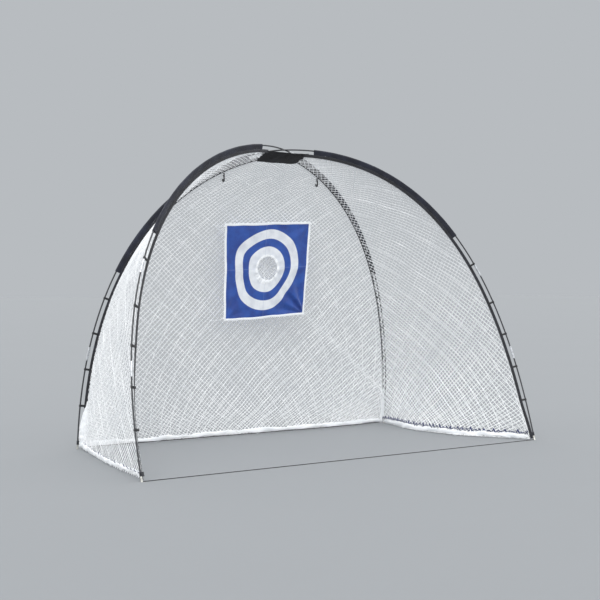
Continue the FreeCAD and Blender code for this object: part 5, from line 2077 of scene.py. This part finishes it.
@dataclass
class HookWork:
    """The two hanging hooks, and their loops, which keep the frame's own shape."""

    finishes: Finishes
    thickness: float = 0.0095
    shank: float = 0.025
    bend: float = 0.0092
    tip: float = 0.009
    eye: float = 0.0047
    eye_wall: float = 0.0027
    eye_inset: float = 0.005
    blunted: float = 0.003
    swollen: float = 0.0035
    step: float = 0.0016

    def make(self) -> None:
        """Make the hooks, and soften the edges of their loops."""
        for side in ("left", "right"):
            self.make_hook(side)
            self.soften("hook_loop_" + side, self.finishes.plastic, 0.0006)

    def make_hook(self, side: str) -> None:
        """Make one moulded hook: an eye, a shank, a round bend and a blunt tip.

        Args:
            side: the side that it hangs on.
        """
        low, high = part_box("hook_" + side)
        eye_z = high.z - self.eye_inset
        middle_x, middle_y = (low.x + high.x) / 2, low.y + self.eye_inset
        angles = np.linspace(math.pi, 2 * math.pi, 9)
        bend = [(middle_x, middle_y + self.bend * (1 + math.cos(angle)),
                 eye_z - self.shank + self.bend * math.sin(angle)) for angle in angles]
        start = [(middle_x, middle_y, eye_z - self.eye - number * 4 * self.step) for number in range(3)]
        stop = (middle_x, middle_y + 2 * self.bend, eye_z - self.shank + self.tip)
        route = Route(np.array([*start, *bend, stop]), (1.0, 0.0, 0.0))
        hook = Bench.rod("hanging_hook_" + side, self.thickness / 2, route.length, 20,
                         int(route.length / self.step))
        rows = read_points(hook)
        left = route.length - rows[:, 2]
        blunt = np.sqrt(np.clip(left / self.blunted, 0.06, 1.0))
        swelling = 1 + 0.14 * np.exp(-((left - self.swollen) / self.blunted) ** 2)
        rows[:, :2] *= (blunt * swelling)[:, None]
        write_points(hook, rows)
        lay_along(hook, route)
        eye = Bench.ring("eye", self.eye, self.eye_wall, (36, 16), (0, math.pi / 2, 0),
                         (middle_x, middle_y, eye_z))
        Bench.combine(hook, eye, "UNION")
        dress(hook, self.finishes.plastic, side + "_hook", ["hook_" + side], sharp=50)

    def soften(self, node: str, material: bpy.types.Material, width: float) -> None:
        """Round the edges of one node and give it its material.

        Args:
            node: the node's name.
            material: its material.
            width: how far its edges are bevelled.
        """
        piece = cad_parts[node]
        bevel = piece.modifiers.new("edges", "BEVEL")
        bevel.width = width
        bevel.segments = 2
        bevel.limit_method = "ANGLE"
        for slot in piece.material_slots:
            slot.material = material
        LOG.info("%s: kept, with softened edges", node)


@dataclass
class Studio:
    """A plain pale floor under a plain pale sky, soft light and the camera."""

    camera: Triple = (-4.352, -6.314, 1.062)
    heading: float = -34.63
    lens: float = 68.2
    shift: float = -0.0196
    floor: Colour = (139, 142, 145)
    backdrop: Colour = (184, 188, 192)
    sky: float = 1.25
    sun: float = 1.4

    def make(self) -> None:
        """Make the stage, the light and the camera."""
        self.make_stage()
        self.make_sky()
        self.make_sun()
        self.make_camera()

    def make_stage(self) -> None:
        """Make the floor."""
        floor = Bench.grid("floor", (2, 2), 240)
        recipe = Recipe("floor", 0.9)
        cloud = recipe.noise(recipe.place(), 0.6, 4.0)
        darker = tuple(part * 0.985 for part in self.floor)
        colour = recipe.mix(cloud, shade(*self.floor), shade(*darker))
        floor.data.materials.append(recipe.finish(colour))

    def make_sky(self) -> None:
        """Make the soft light all round, with a plain backdrop where the camera looks past the net."""
        scene = bpy.context.scene
        world = bpy.data.worlds.new("pale_sky")
        scene.world = world
        world.use_nodes = True
        tree = world.node_tree
        tree.nodes.clear()
        light = tree.nodes.new("ShaderNodeBackground")
        light.inputs["Color"].default_value = (0.97, 0.985, 1.0, 1.0)
        light.inputs["Strength"].default_value = self.sky
        plain = tree.nodes.new("ShaderNodeBackground")
        plain.inputs["Color"].default_value = shade(*self.backdrop)
        ray = tree.nodes.new("ShaderNodeLightPath")
        mix = tree.nodes.new("ShaderNodeMixShader")
        tree.links.new(ray.outputs["Is Camera Ray"], mix.inputs[0])
        tree.links.new(light.outputs[0], mix.inputs[1])
        tree.links.new(plain.outputs[0], mix.inputs[2])
        tree.links.new(mix.outputs[0], tree.nodes.new("ShaderNodeOutputWorld").inputs[0])

    def make_sun(self) -> None:
        """Make one broad soft sun."""
        light = bpy.data.lights.new("soft_sun", "SUN")
        light.energy = self.sun
        light.angle = math.radians(50)
        lamp = Bench.link("soft_sun", light)
        lamp.rotation_euler = (math.radians(38), math.radians(-14), math.radians(-20))

    def make_camera(self) -> None:
        """Make the camera at the photograph's place and angle."""
        scene = bpy.context.scene
        data = bpy.data.cameras.new("camera")
        data.lens = self.lens
        data.sensor_width = 36.0
        data.shift_y = self.shift
        data.clip_end = 400.0
        camera = Bench.link("camera", data)
        camera.location = self.camera
        camera.rotation_euler = (math.pi / 2, 0.0, math.radians(self.heading))
        scene.camera = camera
        scene.view_settings.view_transform = "Standard"


class ChippingNet:
    """The whole net: its legs, its panels of netting and the work on each part."""

    def __init__(self) -> None:
        """Lay out the legs, the poles and the nets."""
        front, back = (0.052, 0.524, 1.668), (0.022, 0.154, 1.802)
        self.front_left = Leg("front_left", -1, -1, front, 0.715, leaves=0.88, drawn=0.3, lean=12.0,
                              draw=0.0238)
        self.front_right = Leg("front_right", 1, -1, front, 0.715, leaves=0.3, drawn=0.02, sleeve_short=0.045)
        self.back_left = Leg("back_left", -1, 1, back, 0.193, leaves=CAGE.clip_first, drawn=0.0)
        self.back_right = Leg("back_right", 1, 1, back, 0.193, leaves=CAGE.clip_first, drawn=0.0)
        self.left_pole = Pole("left", self.front_left, self.back_right)
        self.right_pole = Pole("right", self.front_right, self.back_left)
        self.legs = (self.front_left, self.front_right, self.back_left, self.back_right)
        self.left_net = NetSheet("left", self.back_left, -1, self.front_left, 1, (-1, 0, 1), seed=3,
                                 bow=(-0.02, -0.03, -0.02), slack=0.04, twine=0.0023, knot=0.0029)
        self.right_net = NetSheet("right", self.front_right, -1, self.back_right, 1, (1, 0, 1), seed=4,
                                  bow=(0.205, 0.205))
        self.back_net = NetSheet("back", self.back_right, -1, self.back_left, 1, (0, 1, 1), seed=6,
                                 bow=(0.05, 0.03, 0.02, 0.01))
        self.finishes = Finishes()

    def make(self) -> None:
        """Make every piece, from the poles to the target."""
        self.gather_nets()
        poles, edges = PoleWork(self.finishes), EdgeWork(self.finishes)
        for pole in (self.left_pole, self.right_pole):
            poles.make_rods(pole)
            poles.make_ferrules(pole)
        for number, leg in enumerate(self.legs):
            poles.make_foot(leg)
            edges.make_binding(leg)
            edges.make_clips(leg, self.left_pole if leg is self.front_left else self.right_pole)
            edges.make_strap(leg)
            edges.make_sleeve(leg, 30 + 2 * number)
        CrownWork(self.finishes, self.legs).make()
        nets, hems = NetWork(self.finishes), HemWork(self.finishes)
        for sheet in (self.left_net, self.right_net, self.back_net):
            nets.make_panel(sheet)
        self.make_hems(hems)
        TargetWork(self.finishes).make(nets, self.back_net)
        GroundWork(self.finishes).make()
        HookWork(self.finishes).make()

    def gather_nets(self) -> None:
        """Draw the netting toward the feet, and toward the lower right corner of the target."""
        back_edge = float(self.back_net.widths[0]) / 2
        streak = Gather(self.back_net.flat_of(-0.4, 0.87), (-back_edge + 0.03, 0.25), 0.09, 0.66, 0.85)
        right_foot = Gather((-back_edge + 0.06, 0.5), (-back_edge, 0.02), 0.09, 0.1, 0.75)
        left_foot = Gather((back_edge - 0.06, 0.45), (back_edge, 0.02), 0.09, 0.1, 0.7)
        self.back_net.gathers += [streak, right_foot, left_foot]
        left_edge = float(self.left_net.widths[0]) / 2
        self.left_net.gathers.append(Gather((-left_edge + 0.08, 0.55), (-left_edge, 0.02), 0.14, 0.2, 0.75))
        right_edge = float(self.right_net.widths[0]) / 2
        front_fan = Gather((-right_edge + 0.05, 0.6), (-right_edge + 0.01, 0.03), 0.11, 0.25, 0.85)
        back_fan = Gather((right_edge - 0.05, 0.4), (right_edge, 0.02), 0.08, 0.1, 0.7)
        self.right_net.gathers += [front_fan, back_fan]

    def make_hems(self, hems: HemWork) -> None:
        """Make the hem, the hem cord and the bunched corners of each net.

        Args:
            hems: the maker of hems.
        """
        hems.make_band(self.left_net, (1.35, 0.9))
        hems.make_band(self.right_net, (0.9, 1.35))
        hems.make_band(self.back_net, (1.3, 1.35))
        hems.make_bunch(self.back_left, half_width=0.029, foot_place=0.037, growth=0.2)
        hems.make_bunch(self.back_right, half_width=0.024, foot_place=0.03, growth=0.38)
        blue = self.finishes.blue_cord
        hems.make_lace(self.left_net, blue, rise=0.03, swing=(0.006, 0.005), inward=0.003,
                       pitch=0.06, cord=0.0042)
        hems.make_lace(self.right_net, blue, rise=0.04, swing=(0.0125, 0.01), inward=0.004,
                       pitch=0.032, cord=0.0105)
        hems.make_lace(self.back_net, self.finishes.black_cord, rise=0.0, swing=(0.0, 0.001),
                       inward=0.007, pitch=0.3, cord=0.0058)


def main() -> None:
    """Make the studio and the net."""
    logging.basicConfig(level=logging.INFO, format="%(name)s: %(message)s")
    Studio().make()
    ChippingNet().make()


if __name__ == "__main__":
    main()
